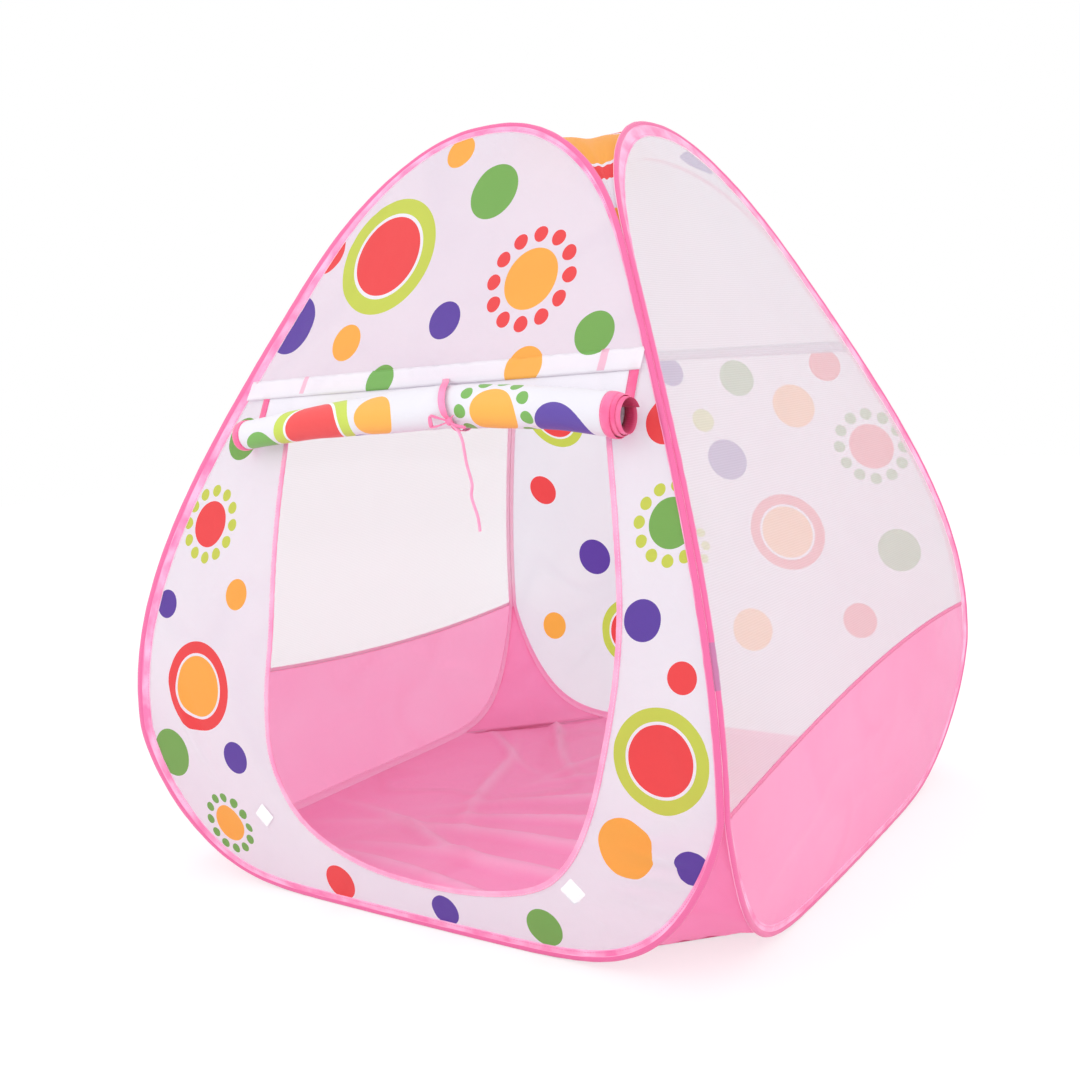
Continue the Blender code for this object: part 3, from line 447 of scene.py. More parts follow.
FRONT_PRINT = (
    ("ringed", -0.115, 0.835, 0.078, RED, LIME), ("dot", 0.040, 0.905, 0.036, GREEN),
    ("wreath", 0.130, 0.785, 0.066, ORANGE, RED), ("dot", 0.010, 0.742, 0.024, VIOLET),
    ("dot", -0.262, 0.752, 0.040, VIOLET), ("dot", -0.035, 0.968, 0.022, ORANGE),
    ("dot", 0.238, 0.712, 0.026, GREEN), ("dot", -0.150, 0.722, 0.024, ORANGE),
    ("dot", -0.232, 0.850, 0.030, RED),
    ("dot", 0.150, 0.676, 0.026, ORANGE), ("dot", -0.070, 0.668, 0.022, GREEN),
    ("strip", 0.258, 0.680, (0.005, 0.013), STRIP_PINK), ("strip", -0.205, 0.668, (0.004, 0.012), STRIP_PINK),
    ("dot", -0.300, 0.600, 0.028, GREEN), ("wreath", -0.330, 0.488, 0.052, RED, LIME),
    ("dot", -0.258, 0.400, 0.020, ORANGE), ("dot", -0.395, 0.380, 0.019, VIOLET),
    ("ringed", -0.325, 0.275, 0.060, ORANGE, RED), ("dot", -0.262, 0.185, 0.022, VIOLET),
    ("dot", -0.392, 0.175, 0.034, GREEN), ("wreath", -0.300, 0.085, 0.045, ORANGE, GREEN),
    ("dot", 0.352, 0.612, 0.026, RED), ("wreath", 0.375, 0.505, 0.046, GREEN, LIME),
    ("dot", 0.352, 0.405, 0.022, VIOLET), ("dot", 0.402, 0.350, 0.017, RED),
    ("ringed", 0.378, 0.262, 0.056, RED, LIME), ("dot", 0.330, 0.160, 0.034, ORANGE),
    ("dot", 0.408, 0.150, 0.020, VIOLET), ("dot", 0.205, 0.038, 0.024, GREEN),
    ("dot", 0.060, 0.030, 0.020, VIOLET), ("dot", -0.110, 0.034, 0.024, RED),
)
BACK_PRINT = (
    ("dot", -0.268, 0.655, 0.026, RED), ("dot", -0.110, 0.640, 0.030, GREEN),
    ("dot", 0.010, 0.655, 0.024, VIOLET), ("dot", 0.160, 0.645, 0.028, RED),
    ("ringed", 0.270, 0.585, 0.060, RED, LIME), ("dot", 0.090, 0.575, 0.024, ORANGE),
    ("dot", -0.200, 0.590, 0.036, ORANGE), ("dot", -0.030, 0.570, 0.020, LIME),
    ("wreath", -0.320, 0.520, 0.064, RED, GREEN), ("dot", -0.060, 0.500, 0.036, VIOLET),
    ("dot", 0.130, 0.480, 0.044, GREEN), ("ringed", -0.150, 0.370, 0.068, ORANGE, RED),
    ("dot", 0.340, 0.440, 0.028, RED), ("wreath", 0.060, 0.340, 0.058, ORANGE, LIME),
    ("dot", -0.345, 0.345, 0.036, GREEN), ("dot", 0.250, 0.310, 0.034, VIOLET),
    ("dot", -0.270, 0.220, 0.030, RED), ("ringed", 0.180, 0.170, 0.062, RED, LIME),
    ("dot", -0.070, 0.190, 0.038, ORANGE), ("dot", 0.350, 0.170, 0.026, ORANGE),
)
CAP_PRINT = (
    ("ringed", 0.140, -0.145, 0.078, ORANGE, RED), ("dot", 0.232, -0.232, 0.012, ORANGE),
    ("dot", 0.010, -0.085, 0.026, GREEN),
    ("dot", -0.070, 0.010, 0.034, VIOLET), ("ringed", 0.010, 0.110, 0.048, RED, LIME),
    ("dot", 0.165, 0.125, 0.026, VIOLET), ("dot", -0.120, -0.120, 0.024, RED),
)
ROLL_PRINT = (
    ("dot", -0.232, 0.092, 0.026, GREEN), ("ringed", -0.135, 0.100, 0.066, RED, LIME),
    ("dot", -0.030, 0.112, 0.030, ORANGE), ("wreath", 0.150, 0.112, 0.056, ORANGE, GREEN),
    ("dot", 0.242, 0.102, 0.036, VIOLET), ("dot", -0.065, 0.070, 0.016, VIOLET),
    ("strip", 0.045, 0.050, (0.020, 0.012), PALE_STRIP_PINK),
    ("strip", 0.118, 0.046, (0.022, 0.010), PALE_STRIP_PINK),
)
print("motifs on the front, back, cap and door:",
      [len(motifs) for motifs in (FRONT_PRINT, BACK_PRINT, CAP_PRINT, ROLL_PRINT)])

# %% Motif drawing
BEADS = 12
STRIP_INK_SHARE = 0.45
RIM_SHARE, DISC_SHARE = 0.74, 0.68
BEADS_AT_SHARE, BEAD_SHARE, HEART_SHARE = 0.84, 0.15, 0.58


def print_motifs(tree, flat, colour, motifs):
    """Lay printed motifs over a colour, each by its distance from a point on the flat cloth."""
    def disc(distance, radius, code, colour):
        within = node(tree, "Math", {0: distance, 1: radius}, operation="LESS_THAN")
        mix = node(tree, "Mix", {0: within.outputs[0], 6: colour, 7: linear(code)}, data_type="RGBA")
        return mix.outputs[2]

    for kind, across, height, radius, *inks in motifs:
        away = node(tree, "VectorMath", {0: flat, 1: (across, height, 0.0)}, operation="SUBTRACT")
        offset = away.outputs[0]
        if kind == "strip":
            wide, tall = radius
            parts = node(tree, "SeparateXYZ", {0: offset})
            beside = node(tree, "Math", {0: parts.outputs[0], 1: 0.0, 2: wide}, operation="COMPARE")
            along = node(tree, "Math", {0: parts.outputs[1], 1: 0.0, 2: tall}, operation="COMPARE")
            share = node(tree, "Math", {0: beside.outputs[0], 1: along.outputs[0]}, operation="MULTIPLY")
            faint = node(tree, "Math", {0: share.outputs[0], 1: STRIP_INK_SHARE}, operation="MULTIPLY")
            mix = node(tree, "Mix", {0: faint.outputs[0], 6: colour, 7: linear(inks[0])}, data_type="RGBA")
            colour = mix.outputs[2]
            continue
        distance = node(tree, "VectorMath", {0: offset}, operation="LENGTH").outputs["Value"]
        if kind == "dot":
            colour = disc(distance, radius, inks[0], colour)
        elif kind == "ringed":
            colour = disc(distance, radius, inks[1], colour)
            colour = disc(distance, radius * RIM_SHARE, CLOTH_WHITE, colour)
            colour = disc(distance, radius * DISC_SHARE, inks[0], colour)
        else:
            ring = radius * BEADS_AT_SHARE
            parts = node(tree, "SeparateXYZ", {0: offset})
            angle = node(tree, "Math", {0: parts.outputs[0], 1: parts.outputs[1]}, operation="ARCTAN2")
            step = 2 * math.pi / BEADS
            wrapped = node(tree, "Math", {0: angle.outputs[0], 1: -step / 2, 2: step / 2}, operation="WRAP")
            aside = node(tree, "Math", {0: wrapped.outputs[0], 1: ring}, operation="MULTIPLY")
            beyond = node(tree, "Math", {0: distance, 1: ring}, operation="SUBTRACT")
            bead = node(tree, "CombineXYZ", {0: aside.outputs[0], 1: beyond.outputs[0]})
            reach = node(tree, "VectorMath", {0: bead.outputs[0]}, operation="LENGTH").outputs["Value"]
            colour = disc(reach, radius * BEAD_SHARE, inks[1], colour)
            colour = disc(distance, radius * HEART_SHARE, inks[0], colour)
    return colour


print("a wreath has", BEADS, "beads")

# %% [markdown]
# ## Woven cloths
# Real taffeta has 20 or more threads to the centimetre, far too fine for this render, so the weave is drawn
# at 2.5 mm, just coarse enough to show when the view comes close. Four things make it read as cloth: a
# cloudy change of tone, fine crinkles in its bump, a few soft wrinkle lines with painted shade along them,
# and a share of light that comes through from behind. The floor's cloth is painted a deeper pink where it
# lies low, as painted shade in the hollows between its folds.

# %% Woven cloth material
THREAD = 0.0025
WRINKLE_REACH = 0.060
# The share of painted shade laid along the wrinkle lines.
WRINKLE_SHADE = 0.14
# Heights over which the floor's painted shade fades out as it rises, and how strong that shade is low down.
VALLEY_LOW, VALLEY_HIGH, VALLEY_SHADE = 0.0015, 0.0100, 0.9


def wave_scale(spacing):
    """Scale at which a wave texture's bands lie a spacing in metres apart."""
    return 2 * math.pi / (20 * spacing)


def woven_cloth(name, tone, shade, motifs=(), through=0.3, crinkle=0.5, crease_shade_tone="#DCD6E6", valley_shade_tone=None):
    """Polyester taffeta with a cloudy tone, a print, a weave, crinkles, painted shade along its wrinkles and,
    where a valley colour is given, painted shade where it lies low.
    """
    made, tree, output = new_material(name)
    flat = node(tree, "UVMap", uv_map="flat").outputs[0]
    clouds = node(tree, "TexNoise", {"Vector": flat, "Scale": 6.0, "Detail": 3.0})
    mix = node(tree, "Mix", {0: clouds.outputs[0], 6: linear(shade), 7: linear(tone)}, data_type="RGBA")
    colour = print_motifs(tree, flat, mix.outputs[2], motifs)
    # Painted shade: where the cloth lies low, in the hollows between its folds, it is mixed towards the
    # valley colour.
    if valley_shade_tone is not None:
        place = node(tree, "SeparateXYZ", {0: node(tree, "TexCoord").outputs["Object"]})
        depth = node(tree, "MapRange", {"Value": place.outputs[2], "From Min": VALLEY_LOW,
                                        "From Max": VALLEY_HIGH, "To Min": VALLEY_SHADE, "To Max": 0.0})
        mix = node(tree, "Mix", {0: depth.outputs[0], 6: colour, 7: linear(valley_shade_tone)}, data_type="RGBA")
        colour = mix.outputs[2]
    warp = node(tree, "TexWave", {"Vector": flat, "Scale": wave_scale(THREAD)}, bands_direction="X")
    weft = node(tree, "TexWave", {"Vector": flat, "Scale": wave_scale(THREAD)}, bands_direction="Y")
    weave = node(tree, "Math", {0: warp.outputs["Fac"], 1: weft.outputs["Fac"]}, operation="MULTIPLY")
    creases = node(tree, "TexNoise", {"Vector": flat, "Scale": 22.0, "Detail": 5.0, "Distortion": 0.6})
    slack = node(tree, "TexNoise", {"Vector": flat, "Scale": 3.2, "Detail": 1.5, "Distortion": 0.5})
    offset = node(tree, "Math", {0: slack.outputs[0], 1: 0.5}, operation="SUBTRACT")
    aside = node(tree, "Math", {0: offset.outputs[0]}, operation="ABSOLUTE")
    wrinkle = node(tree, "MapRange", {"Value": aside.outputs[0], "From Max": WRINKLE_REACH, "To Min": 1.0,
                                      "To Max": 0.0}, interpolation_type="SMOOTHSTEP")
    # Painted shade: the wrinkle lines are multiplied towards the crease colour, darker where the cloth
    # creases.
    share = node(tree, "Math", {0: wrinkle.outputs[0], 1: WRINKLE_SHADE * crinkle}, operation="MULTIPLY")
    mix = node(tree, "Mix", {0: share.outputs[0], 6: colour, 7: linear(crease_shade_tone)}, data_type="RGBA",
               blend_type="MULTIPLY")
    colour = mix.outputs[2]
    threads = node(tree, "Bump", {"Strength": 0.12, "Distance": 0.0004, "Height": weave.outputs[0]})
    lines = node(tree, "Bump", {"Strength": crinkle * 0.8, "Distance": 0.003, "Height": wrinkle.outputs[0],
                                "Normal": threads.outputs[0]})
    folds = node(tree, "Bump", {"Strength": crinkle * 0.7, "Distance": 0.004, "Height": creases.outputs[0],
                                "Normal": lines.outputs[0]})
    gloss = node(tree, "MapRange", {"Value": creases.outputs[0], "To Min": 0.47, "To Max": 0.65})
    shader = node(tree, "BsdfPrincipled", {"Base Color": colour, "Roughness": gloss.outputs[0],
                                           "Sheen Weight": 0.15, "Sheen Roughness": 0.5,
                                           "Normal": folds.outputs[0]})
    glow = node(tree, "BsdfTranslucent", {"Color": colour, "Normal": folds.outputs[0]})
    both = node(tree, "MixShader", {0: through, 1: shader.outputs[0], 2: glow.outputs[0]})
    tree.links.new(both.outputs[0], output.inputs["Surface"])
    return made


# Each cloth's crease colour is the painted shade of its wrinkle lines.
front_cloth = woven_cloth("printed_polyester_taffeta", CLOTH_WHITE, "#E9ECF3", FRONT_PRINT, through=0.5)
# A greyer copy of the printed cloth for the upper front panel: painted shade, as that panel leans back under
# the cap.
shaded_upper_cloth = woven_cloth("printed_polyester_taffeta_upper_shaded", "#EEE9F1", "#E6E0EA", FRONT_PRINT, through=0.45)
header_cloth = woven_cloth("doubled_printed_taffeta", "#F6F2F8", "#EDE8F1", FRONT_PRINT, through=0.2)
back_cloth = woven_cloth("printed_polyester_taffeta_back", CLOTH_WHITE, "#E7EAF1", BACK_PRINT, through=0.55)
cap_cloth = woven_cloth("printed_polyester_taffeta_cap", CLOTH_WHITE, "#E7EAF1", CAP_PRINT, through=0.5)
roll_cloth = woven_cloth("printed_polyester_taffeta_door", "#EFEDF3", "#E2DFE9", ROLL_PRINT, through=0.08)
plain_cloth = woven_cloth("white_polyester_taffeta", CLOTH_WHITE, "#E7EAF1", through=0.55)
skirt_cloth = woven_cloth("pink_polyester_taffeta", "#FFB8DA", "#FFA4CE", through=0.5, crease_shade_tone="#F7A8CC")
hem_cloth = woven_cloth("doubled_pink_polyester_taffeta", "#FFBADB", "#FFAFD4", through=0.6,
                        crease_shade_tone="#F7A8CC")
# The floor's valley colour is painted shade in the hollows between its folds.
floor_cloth = woven_cloth("pink_polyester_floor", "#FFB4D8", "#FFA2CD", through=0.05, crinkle=0.8,
                          crease_shade_tone="#F79CC6", valley_shade_tone="#FF8FC3")
gusset_cloth = woven_cloth("pink_polyester_gusset", "#FF9ECB", "#FA84B8", through=0.5, crease_shade_tone="#E88AB6")
print("cloth finishes:", [m.name for m in bpy.data.materials if "polyester" in m.name])

# %% [markdown]
# ## Polyester net
# The side walls are a warp-knitted polyester net. Its holes are about a millimetre, so from a step away it
# is a pale veil with faint rows across it, and the back wall's print shows through it washed out. The rows
# are drawn 2.8 mm apart, and the holes as a share of the surface that lets light straight through.

# %% Net material
NET_ROW = 0.0028
NET_COLUMN = NET_ROW * 0.6
NET_WHITE = "#F0F2F4"
net_cloth, tree, output = new_material("warp_knitted_polyester_net")
flat = node(tree, "UVMap", uv_map="flat").outputs[0]
rows = node(tree, "TexWave", {"Vector": flat, "Scale": wave_scale(NET_ROW), "Distortion": 0.4,
                              "Detail": 1.0}, bands_direction="Y")
columns = node(tree, "TexWave", {"Vector": flat, "Scale": wave_scale(NET_COLUMN)}, bands_direction="X")
lattice = node(tree, "Math", {0: rows.outputs["Fac"], 1: columns.outputs["Fac"]}, operation="MAXIMUM")
solid = node(tree, "MapRange", {"Value": lattice.outputs[0], "To Min": 0.63, "To Max": 0.72})
thread_bump = node(tree, "Bump", {"Strength": 0.2, "Distance": 0.0004, "Height": lattice.outputs[0]})
veil = node(tree, "BsdfPrincipled", {"Base Color": linear(NET_WHITE), "Roughness": 0.7, "Sheen Weight": 0.2,
                                     "Normal": thread_bump.outputs[0]})
glow = node(tree, "BsdfTranslucent", {"Color": linear(NET_WHITE)})
fibre = node(tree, "MixShader", {0: 0.5, 1: veil.outputs[0], 2: glow.outputs[0]})
holes = node(tree, "BsdfTransparent")
net = node(tree, "MixShader", {0: solid.outputs[0], 1: holes.outputs[0], 2: fibre.outputs[0]})
tree.links.new(net.outputs[0], output.inputs["Surface"])
print("net rows are drawn", NET_ROW * 1000, "mm apart")

# %% [markdown]
# ## Tapes, thread, steel and hook fabric
# The edges are bound in folded polyester tape, a ribbed narrow weave that catches light on its rounded
# side. It is blotched in two pinks, the paler blotches partly painted highlight on its puckers; its fold is
# painted deeper, partly its own deeper pink and partly painted shade; and its inner face is pale above the
# skirt.
# Along its inner edge runs a lockstitch of pink thread. The tape's UV map holds metres along the tape and
# metres round it, so ribs and stitches follow every curve.

# %% Tape and hard finishes
RIB = 0.0024
STITCH = 0.0040
STITCH_SHARE = 0.68
THREAD_HALF_WIDTH = 0.0004
FOLD_AT = 0.040
FOLD_STARTS, FOLD_FULL = FOLD_AT - 0.004, FOLD_AT + 0.002
LINING_STARTS, LINING_FULL = 0.20, 0.26
JOINT_HALF_LENGTH, JOINT_FADE, JOINT_INK, JOINT_GREY = 0.0235, 0.0010, 0.7, "#A8749F"


def bound_tape(name, tone, light, seam_at=None, mark=None, stitch_tone="#F272AB", fold_shade_tone=None,
               inner_tone=None):
    """Ribbed polyester tape, blotched partly with painted highlight, its fold painted deeper partly as shade,
    with a line of stitches, and a grey mark where a joint shows through.
    """
    made, tree, output = new_material(name)
    flat = node(tree, "UVMap", uv_map="flat").outputs[0]
    parts = node(tree, "SeparateXYZ", {0: flat})
    along, around = parts.outputs[0], parts.outputs[1]
    # Painted highlight: the paler blotches stand for light caught on the tape's puckers, over a random change
    # of tone.
    blotch_and_highlight = node(tree, "TexNoise", {"Vector": flat, "Scale": 22.0, "Detail": 3.0})
    blotch_and_highlight_share = node(tree, "MapRange", {"Value": blotch_and_highlight.outputs[0], "From Min": 0.36, "From Max": 0.62})
    mix = node(tree, "Mix", {0: blotch_and_highlight_share.outputs[0], 6: linear(tone), 7: linear(light)}, data_type="RGBA")
    # The fold is painted a deeper pink: partly the tape's own colour and partly painted shade where it turns
    # from the light.
    if fold_shade_tone is not None:
        folded = node(tree, "MapRange", {"Value": around, "From Min": FOLD_STARTS, "From Max": FOLD_FULL})
        mix = node(tree, "Mix", {0: folded.outputs[0], 6: mix.outputs[2], 7: linear(fold_shade_tone)},
                   data_type="RGBA")
    if inner_tone is not None:
        inside = node(tree, "Math", {0: around, 1: 0.0}, operation="LESS_THAN")
        place = node(tree, "SeparateXYZ", {0: node(tree, "TexCoord").outputs["Object"]})
        raised = node(tree, "MapRange", {"Value": place.outputs[2], "From Min": LINING_STARTS,
                                         "From Max": LINING_FULL})
        lining = node(tree, "Mix", {0: raised.outputs[0], 6: linear(light), 7: linear(inner_tone)},
                      data_type="RGBA")
        mix = node(tree, "Mix", {0: inside.outputs[0], 6: mix.outputs[2], 7: lining.outputs[2]},
                   data_type="RGBA")
    if mark is not None:
        offset = node(tree, "Math", {0: along, 1: mark}, operation="SUBTRACT")
        near = node(tree, "Math", {0: offset.outputs[0]}, operation="ABSOLUTE")
        share = node(tree, "MapRange", {"Value": near.outputs[0], "From Min": JOINT_HALF_LENGTH,
                                        "From Max": JOINT_HALF_LENGTH + JOINT_FADE,
                                        "To Min": JOINT_INK, "To Max": 0.0})
        mix = node(tree, "Mix", {0: share.outputs[0], 6: mix.outputs[2], 7: linear(JOINT_GREY)},
                   data_type="RGBA")
    ribs = node(tree, "TexWave", {"Vector": flat, "Scale": wave_scale(RIB)}, bands_direction="X")
    height = ribs.outputs["Fac"]
    if seam_at is not None:
        phase = node(tree, "Math", {0: along, 1: STITCH}, operation="MODULO")
        dash = node(tree, "Math", {0: phase.outputs[0], 1: STITCH * STITCH_SHARE}, operation="LESS_THAN")
        line = node(tree, "Math", {0: around, 1: seam_at, 2: THREAD_HALF_WIDTH}, operation="COMPARE")
        stitch = node(tree, "Math", {0: dash.outputs[0], 1: line.outputs[0]}, operation="MULTIPLY")
        mix = node(tree, "Mix", {0: stitch.outputs[0], 6: mix.outputs[2], 7: linear(stitch_tone)},
                   data_type="RGBA")
        sunk = node(tree, "Math", {0: line.outputs[0], 1: -0.6, 2: height}, operation="MULTIPLY_ADD")
        height = sunk.outputs[0]
    bump = node(tree, "Bump", {"Strength": 0.3, "Distance": 0.0004, "Height": height})
    shader = node(tree, "BsdfPrincipled", {"Base Color": mix.outputs[2], "Roughness": 0.45,
                                           "Sheen Weight": 0.2, "Normal": bump.outputs[0]})
    tree.links.new(shader.outputs[0], output.inputs["Surface"])
    return made


# The fold colour is partly painted shade, and the light blotch colour partly painted highlight.
EDGE_TAPE = {"tone": "#F26EA9", "light": "#FFB2D7", "seam_at": 0.0022, "fold_shade_tone": "#E5619B",
             "inner_tone": "#FBDDEA"}
edge_tape = bound_tape("folded_polyester_tape", **EDGE_TAPE)
door_tape = bound_tape("pale_folded_polyester_tape", "#F98FBC", "#FCA9CC", seam_at=0.0015,
                       stitch_tone="#FDBAD6")
end_tape = bound_tape("hot_pink_polyester_tape", "#F0568E", "#FA7AA9", seam_at=0.0022)
# A darker copy of the hot pink tape: painted shade for the binding's inner faces deep in the roll's bore.
shaded_bore_tape = bound_tape("hot_pink_polyester_tape_in_shade", "#C22A5C", "#D23A6C")
tie_ribbon = bound_tape("polyester_ribbon", "#F3689C", "#FB8FBC")

steel, tree, output = new_material("spring_steel")
coords = node(tree, "TexCoord").outputs["Object"]
drawn = node(tree, "TexNoise", {"Vector": coords, "Scale": 300.0})
rough = node(tree, "MapRange", {"Value": drawn.outputs[0], "To Min": 0.3, "To Max": 0.5})
shader = node(tree, "BsdfPrincipled", {"Base Color": linear("#B5B6BA"), "Metallic": 1.0,
                                       "Roughness": rough.outputs[0]})
tree.links.new(shader.outputs[0], output.inputs["Surface"])

hook_fabric, tree, output = new_material("hook_and_loop_nylon")
flat = node(tree, "UVMap", uv_map="flat").outputs[0]
hooks = node(tree, "TexVoronoi", {"Vector": flat, "Scale": 650.0})
tuft = node(tree, "Bump", {"Strength": 0.7, "Distance": 0.0006, "Height": hooks.outputs["Distance"]})
tint = node(tree, "Mix", {0: hooks.outputs["Distance"], 6: linear("#F2EFF6"), 7: linear("#FFFFFF")},
            data_type="RGBA")
shader = node(tree, "BsdfPrincipled", {"Base Color": tint.outputs[2], "Roughness": 0.85, "Sheen Weight": 0.3,
                                       "Normal": tuft.outputs[0]})
tree.links.new(shader.outputs[0], output.inputs["Surface"])
print("tape ribs are drawn", RIB * 1000, "mm apart, stitches", STITCH * 1000, "mm")

# %% [markdown]
# ## The rolled door's curves
# The door hangs from the header seam and is wound up into a roll under it. Its shape is one section, a flat
# drop and then a spiral, that changes along the roll: wound tighter on the left, drawn up by the tie, and
# with its inner turns slid out to the right, where they show as three stepped edges.

# %% Roll shape
ROLL_LEFT, ROLL_RIGHT = -0.277, 0.307
ROLL_RADII = (0.0200, 0.0260)
ROLL_DROPS = (0.068, 0.0735)
ROLL_LIFT = 0.0206
ROLL_PITCH = 0.0023
ROLL_TURNS = 2.85
ROLL_SLIDE = 0.017
FLAP_CLOTH = 0.0012
TAPE_THICKNESS = 0.0006
LOOSE = 0.0008
FLAP_OUT = CLOTH / 2 + GAP + TAPE_THICKNESS + LOOSE + FLAP_CLOTH / 2
FLAP_HANG_GAP = 0.0004
RIBBON_THICKNESS = 0.0008
RIBBON_LIFT = FLAP_CLOTH / 2 + LOOSE + RIBBON_THICKNESS / 2


def hang(across, out, down):
    """Points by the header seam, out from the wall and down along it."""
    across, out, down = np.broadcast_arrays(np.atleast_1d(across), out, down)
    rows = wall_points(np.stack([across, header_height(across)], axis=1))
    return rows + OUT * out[:, None] + DOWN * down[:, None]


def roll_share(across):
    """Share of the way along the rolled door."""
    return (across - ROLL_LEFT) / (ROLL_RIGHT - ROLL_LEFT)


def roll_radius(across):
    """Radius of the roll's outer turn."""
    return ROLL_RADII[0] + (ROLL_RADII[1] - ROLL_RADII[0]) * roll_share(across)


def roll_drop(across):
    """How far the roll's middle hangs below the header; the tie draws it up."""
    reach = np.where(across < TIE_ACROSS, TIE_ACROSS - ROLL_LEFT, ROLL_RIGHT - TIE_ACROSS)
    slack = ROLL_DROPS[0] + (ROLL_DROPS[1] - ROLL_DROPS[0]) * roll_share(across)
    return slack - ROLL_LIFT * (1 - ((across - TIE_ACROSS) / reach) ** 2)


def round_roll(across, radius, turn):
    """A place round the roll, (out, down), from its back at half a turn to its front at zero."""
    return FLAP_OUT + roll_radius(across) + radius * np.cos(turn), roll_drop(across) + radius * np.sin(turn)


KNOT_REACH = roll_radius(TIE_ACROSS) + RIBBON_LIFT + RIBBON_THICKNESS / 2 + GAP + KNOT_RADII[1]
KNOT = hang(TIE_ACROSS, *round_roll(TIE_ACROSS, KNOT_REACH, KNOT_TURN))[0]
print("the knot is at", [round(float(v), 4) for v in KNOT])

# %% Tie's long end
route = even_steps(smooth_curve((KNOT + TAIL_LEAVES, *(KNOT + np.array(TAIL_FROM_KNOT)))), count=40)
curve = bpy.data.curves.new("tie_long_end", "CURVE")
curve.dimensions = "3D"
curve.bevel_depth = TAIL_DIAMETER / 2
curve.bevel_resolution = 4
curve.use_fill_caps = True
line = curve.splines.new("POLY")
line.points.add(len(route) - 1)
for spot, place in zip(line.points, route):
    spot.co = (*place, 1.0)
cord_ribbon, tree, output = new_material("rolled_polyester_ribbon")
coords = node(tree, "TexCoord").outputs["Object"]
crease = node(tree, "TexNoise", {"Vector": coords, "Scale": 90.0, "Detail": 2.0})
# Painted shade: the ribbon is darker where its crease bump is low and paler where it is high.
tint = node(tree, "Mix", {0: crease.outputs[0], 6: linear("#F283B2"), 7: linear("#FBB0D2")}, data_type="RGBA")
grain = node(tree, "Bump", {"Strength": 0.3, "Distance": 0.0006, "Height": crease.outputs[0]})
shader = node(tree, "BsdfPrincipled", {"Base Color": tint.outputs[2], "Roughness": 0.5, "Sheen Weight": 0.2,
                                       "Normal": grain.outputs[0]})
tree.links.new(shader.outputs[0], output.inputs["Surface"])
curve.materials.append(cord_ribbon)
tail = bpy.data.objects.new("tie_long_end", curve)
bpy.context.scene.collection.objects.link(tail)
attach(tail, "door_flap")
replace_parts(tail, "door_tie_tail")

# %% [markdown]
# ## Wires and their joints
# A loop is one spring steel wire whose two ends meet in a crimped tube. Wire and tube are hidden in the
# sewn tape, but they are drawn as smooth tubes, the wire cut in halves as the tape is and the tube kept with
# the left half.


# %% Tubes and bands along an edge
def band(frames, section, lengths, closed):
    """Points, faces and flat coordinates of a section, rows of (inward, out, v), swept along frames."""
    points, run, normals, inward = frames
    count, size = len(points), len(section)
    sheet = np.empty((count, size, 3))
    flat = np.empty((count, size, 2))
    for k, (across, out, around) in enumerate(section):
        sheet[:, k] = points + inward * np.reshape(across, (-1, 1)) + normals * np.reshape(out, (-1, 1))
        flat[:, k, 0] = lengths
        flat[:, k, 1] = around
    faces = []
    for i in range(count if closed else count - 1):
        here, there = i * size, (i + 1) % count * size
        for k in range(size):
            following = (k + 1) % size
            faces.append((here + k, there + k, there + following, here + following))
    return sheet.reshape(-1, 3), faces, flat.reshape(-1, 2)


def circle(radius, sides):
    """A round section for a wire."""
    turns = [math.pi + 2 * math.pi * k / sides for k in range(sides)]
    return [(radius * math.cos(t), radius * math.sin(t), radius * t) for t in turns]


def wave_noise(lengths, *waves):
    """A wandering ripple along an edge from (wavelength, strength) pairs."""
    total = np.zeros_like(lengths)
    for k, (wavelength, strength) in enumerate(waves):
        drift = 1.7 * np.sin(lengths * 2 * math.pi / (wavelength * 7.3) + k * 1.9)
        total += strength * np.sin(lengths * 2 * math.pi / wavelength + drift + k)
    return total


LENGTHS = np.arange(len(LOOP)) * STATION_STEP
WIRE_RADIUS, WIRE_SIDES = 0.0015, 8
CRIMP_RADIUS, CRIMP_SIDES = 0.00235, 10
JOINT_HEIGHT = 0.364
JOINT_STATIONS = 5
thin = slice(0, None, 3)
joint = int(np.argmin(np.abs(LOOP[:, 1] - JOINT_HEIGHT) + (LOOP[:, 0] > 0)))
near_joint = slice(joint - JOINT_STATIONS, joint + JOINT_STATIONS + 1)
for wall in WALLS:
    frames = tuple(f[thin] for f in LOOP_FRAMES)
    points, faces, flat = band(frames, circle(WIRE_RADIUS, WIRE_SIDES), LENGTHS[thin], closed=True)
    across = np.repeat(LOOP[thin, 0], WIRE_SIDES)
    for piece in halves(f"{wall}_spring_wire", points, faces, flat, steel, wall, across):
        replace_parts(piece, f"{wall}_wire_loop")
    frames = tuple(f[near_joint] for f in LOOP_FRAMES)
    points, faces, flat = band(frames, circle(CRIMP_RADIUS, CRIMP_SIDES), LENGTHS[near_joint], closed=False)
    crimp = new_piece(f"{wall}_crimped_joint", to_wall(points, wall), faces, flat, steel)
    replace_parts(fold_with(crimp, wall, -1), f"{wall}_wire_ferrule")
print("each crimped joint is", round(2 * JOINT_STATIONS * STATION_STEP * 1000), "mm long")

# %% [markdown]
# ## Folded edge tapes
# The tape is folded over the wire and the cloth's edge and sewn down, so it has a round bead outside and a
# flat flange inside. Sewing gathers it a little, and the flange ripples every centimetre or so between the
# stitches. The ripple is real shape here, and with the painted highlight and painted shade of the tape's
# finish it gives the tape its two tones of pink. On the front wall's left side the fold stands out past the
# wire, as a lip.

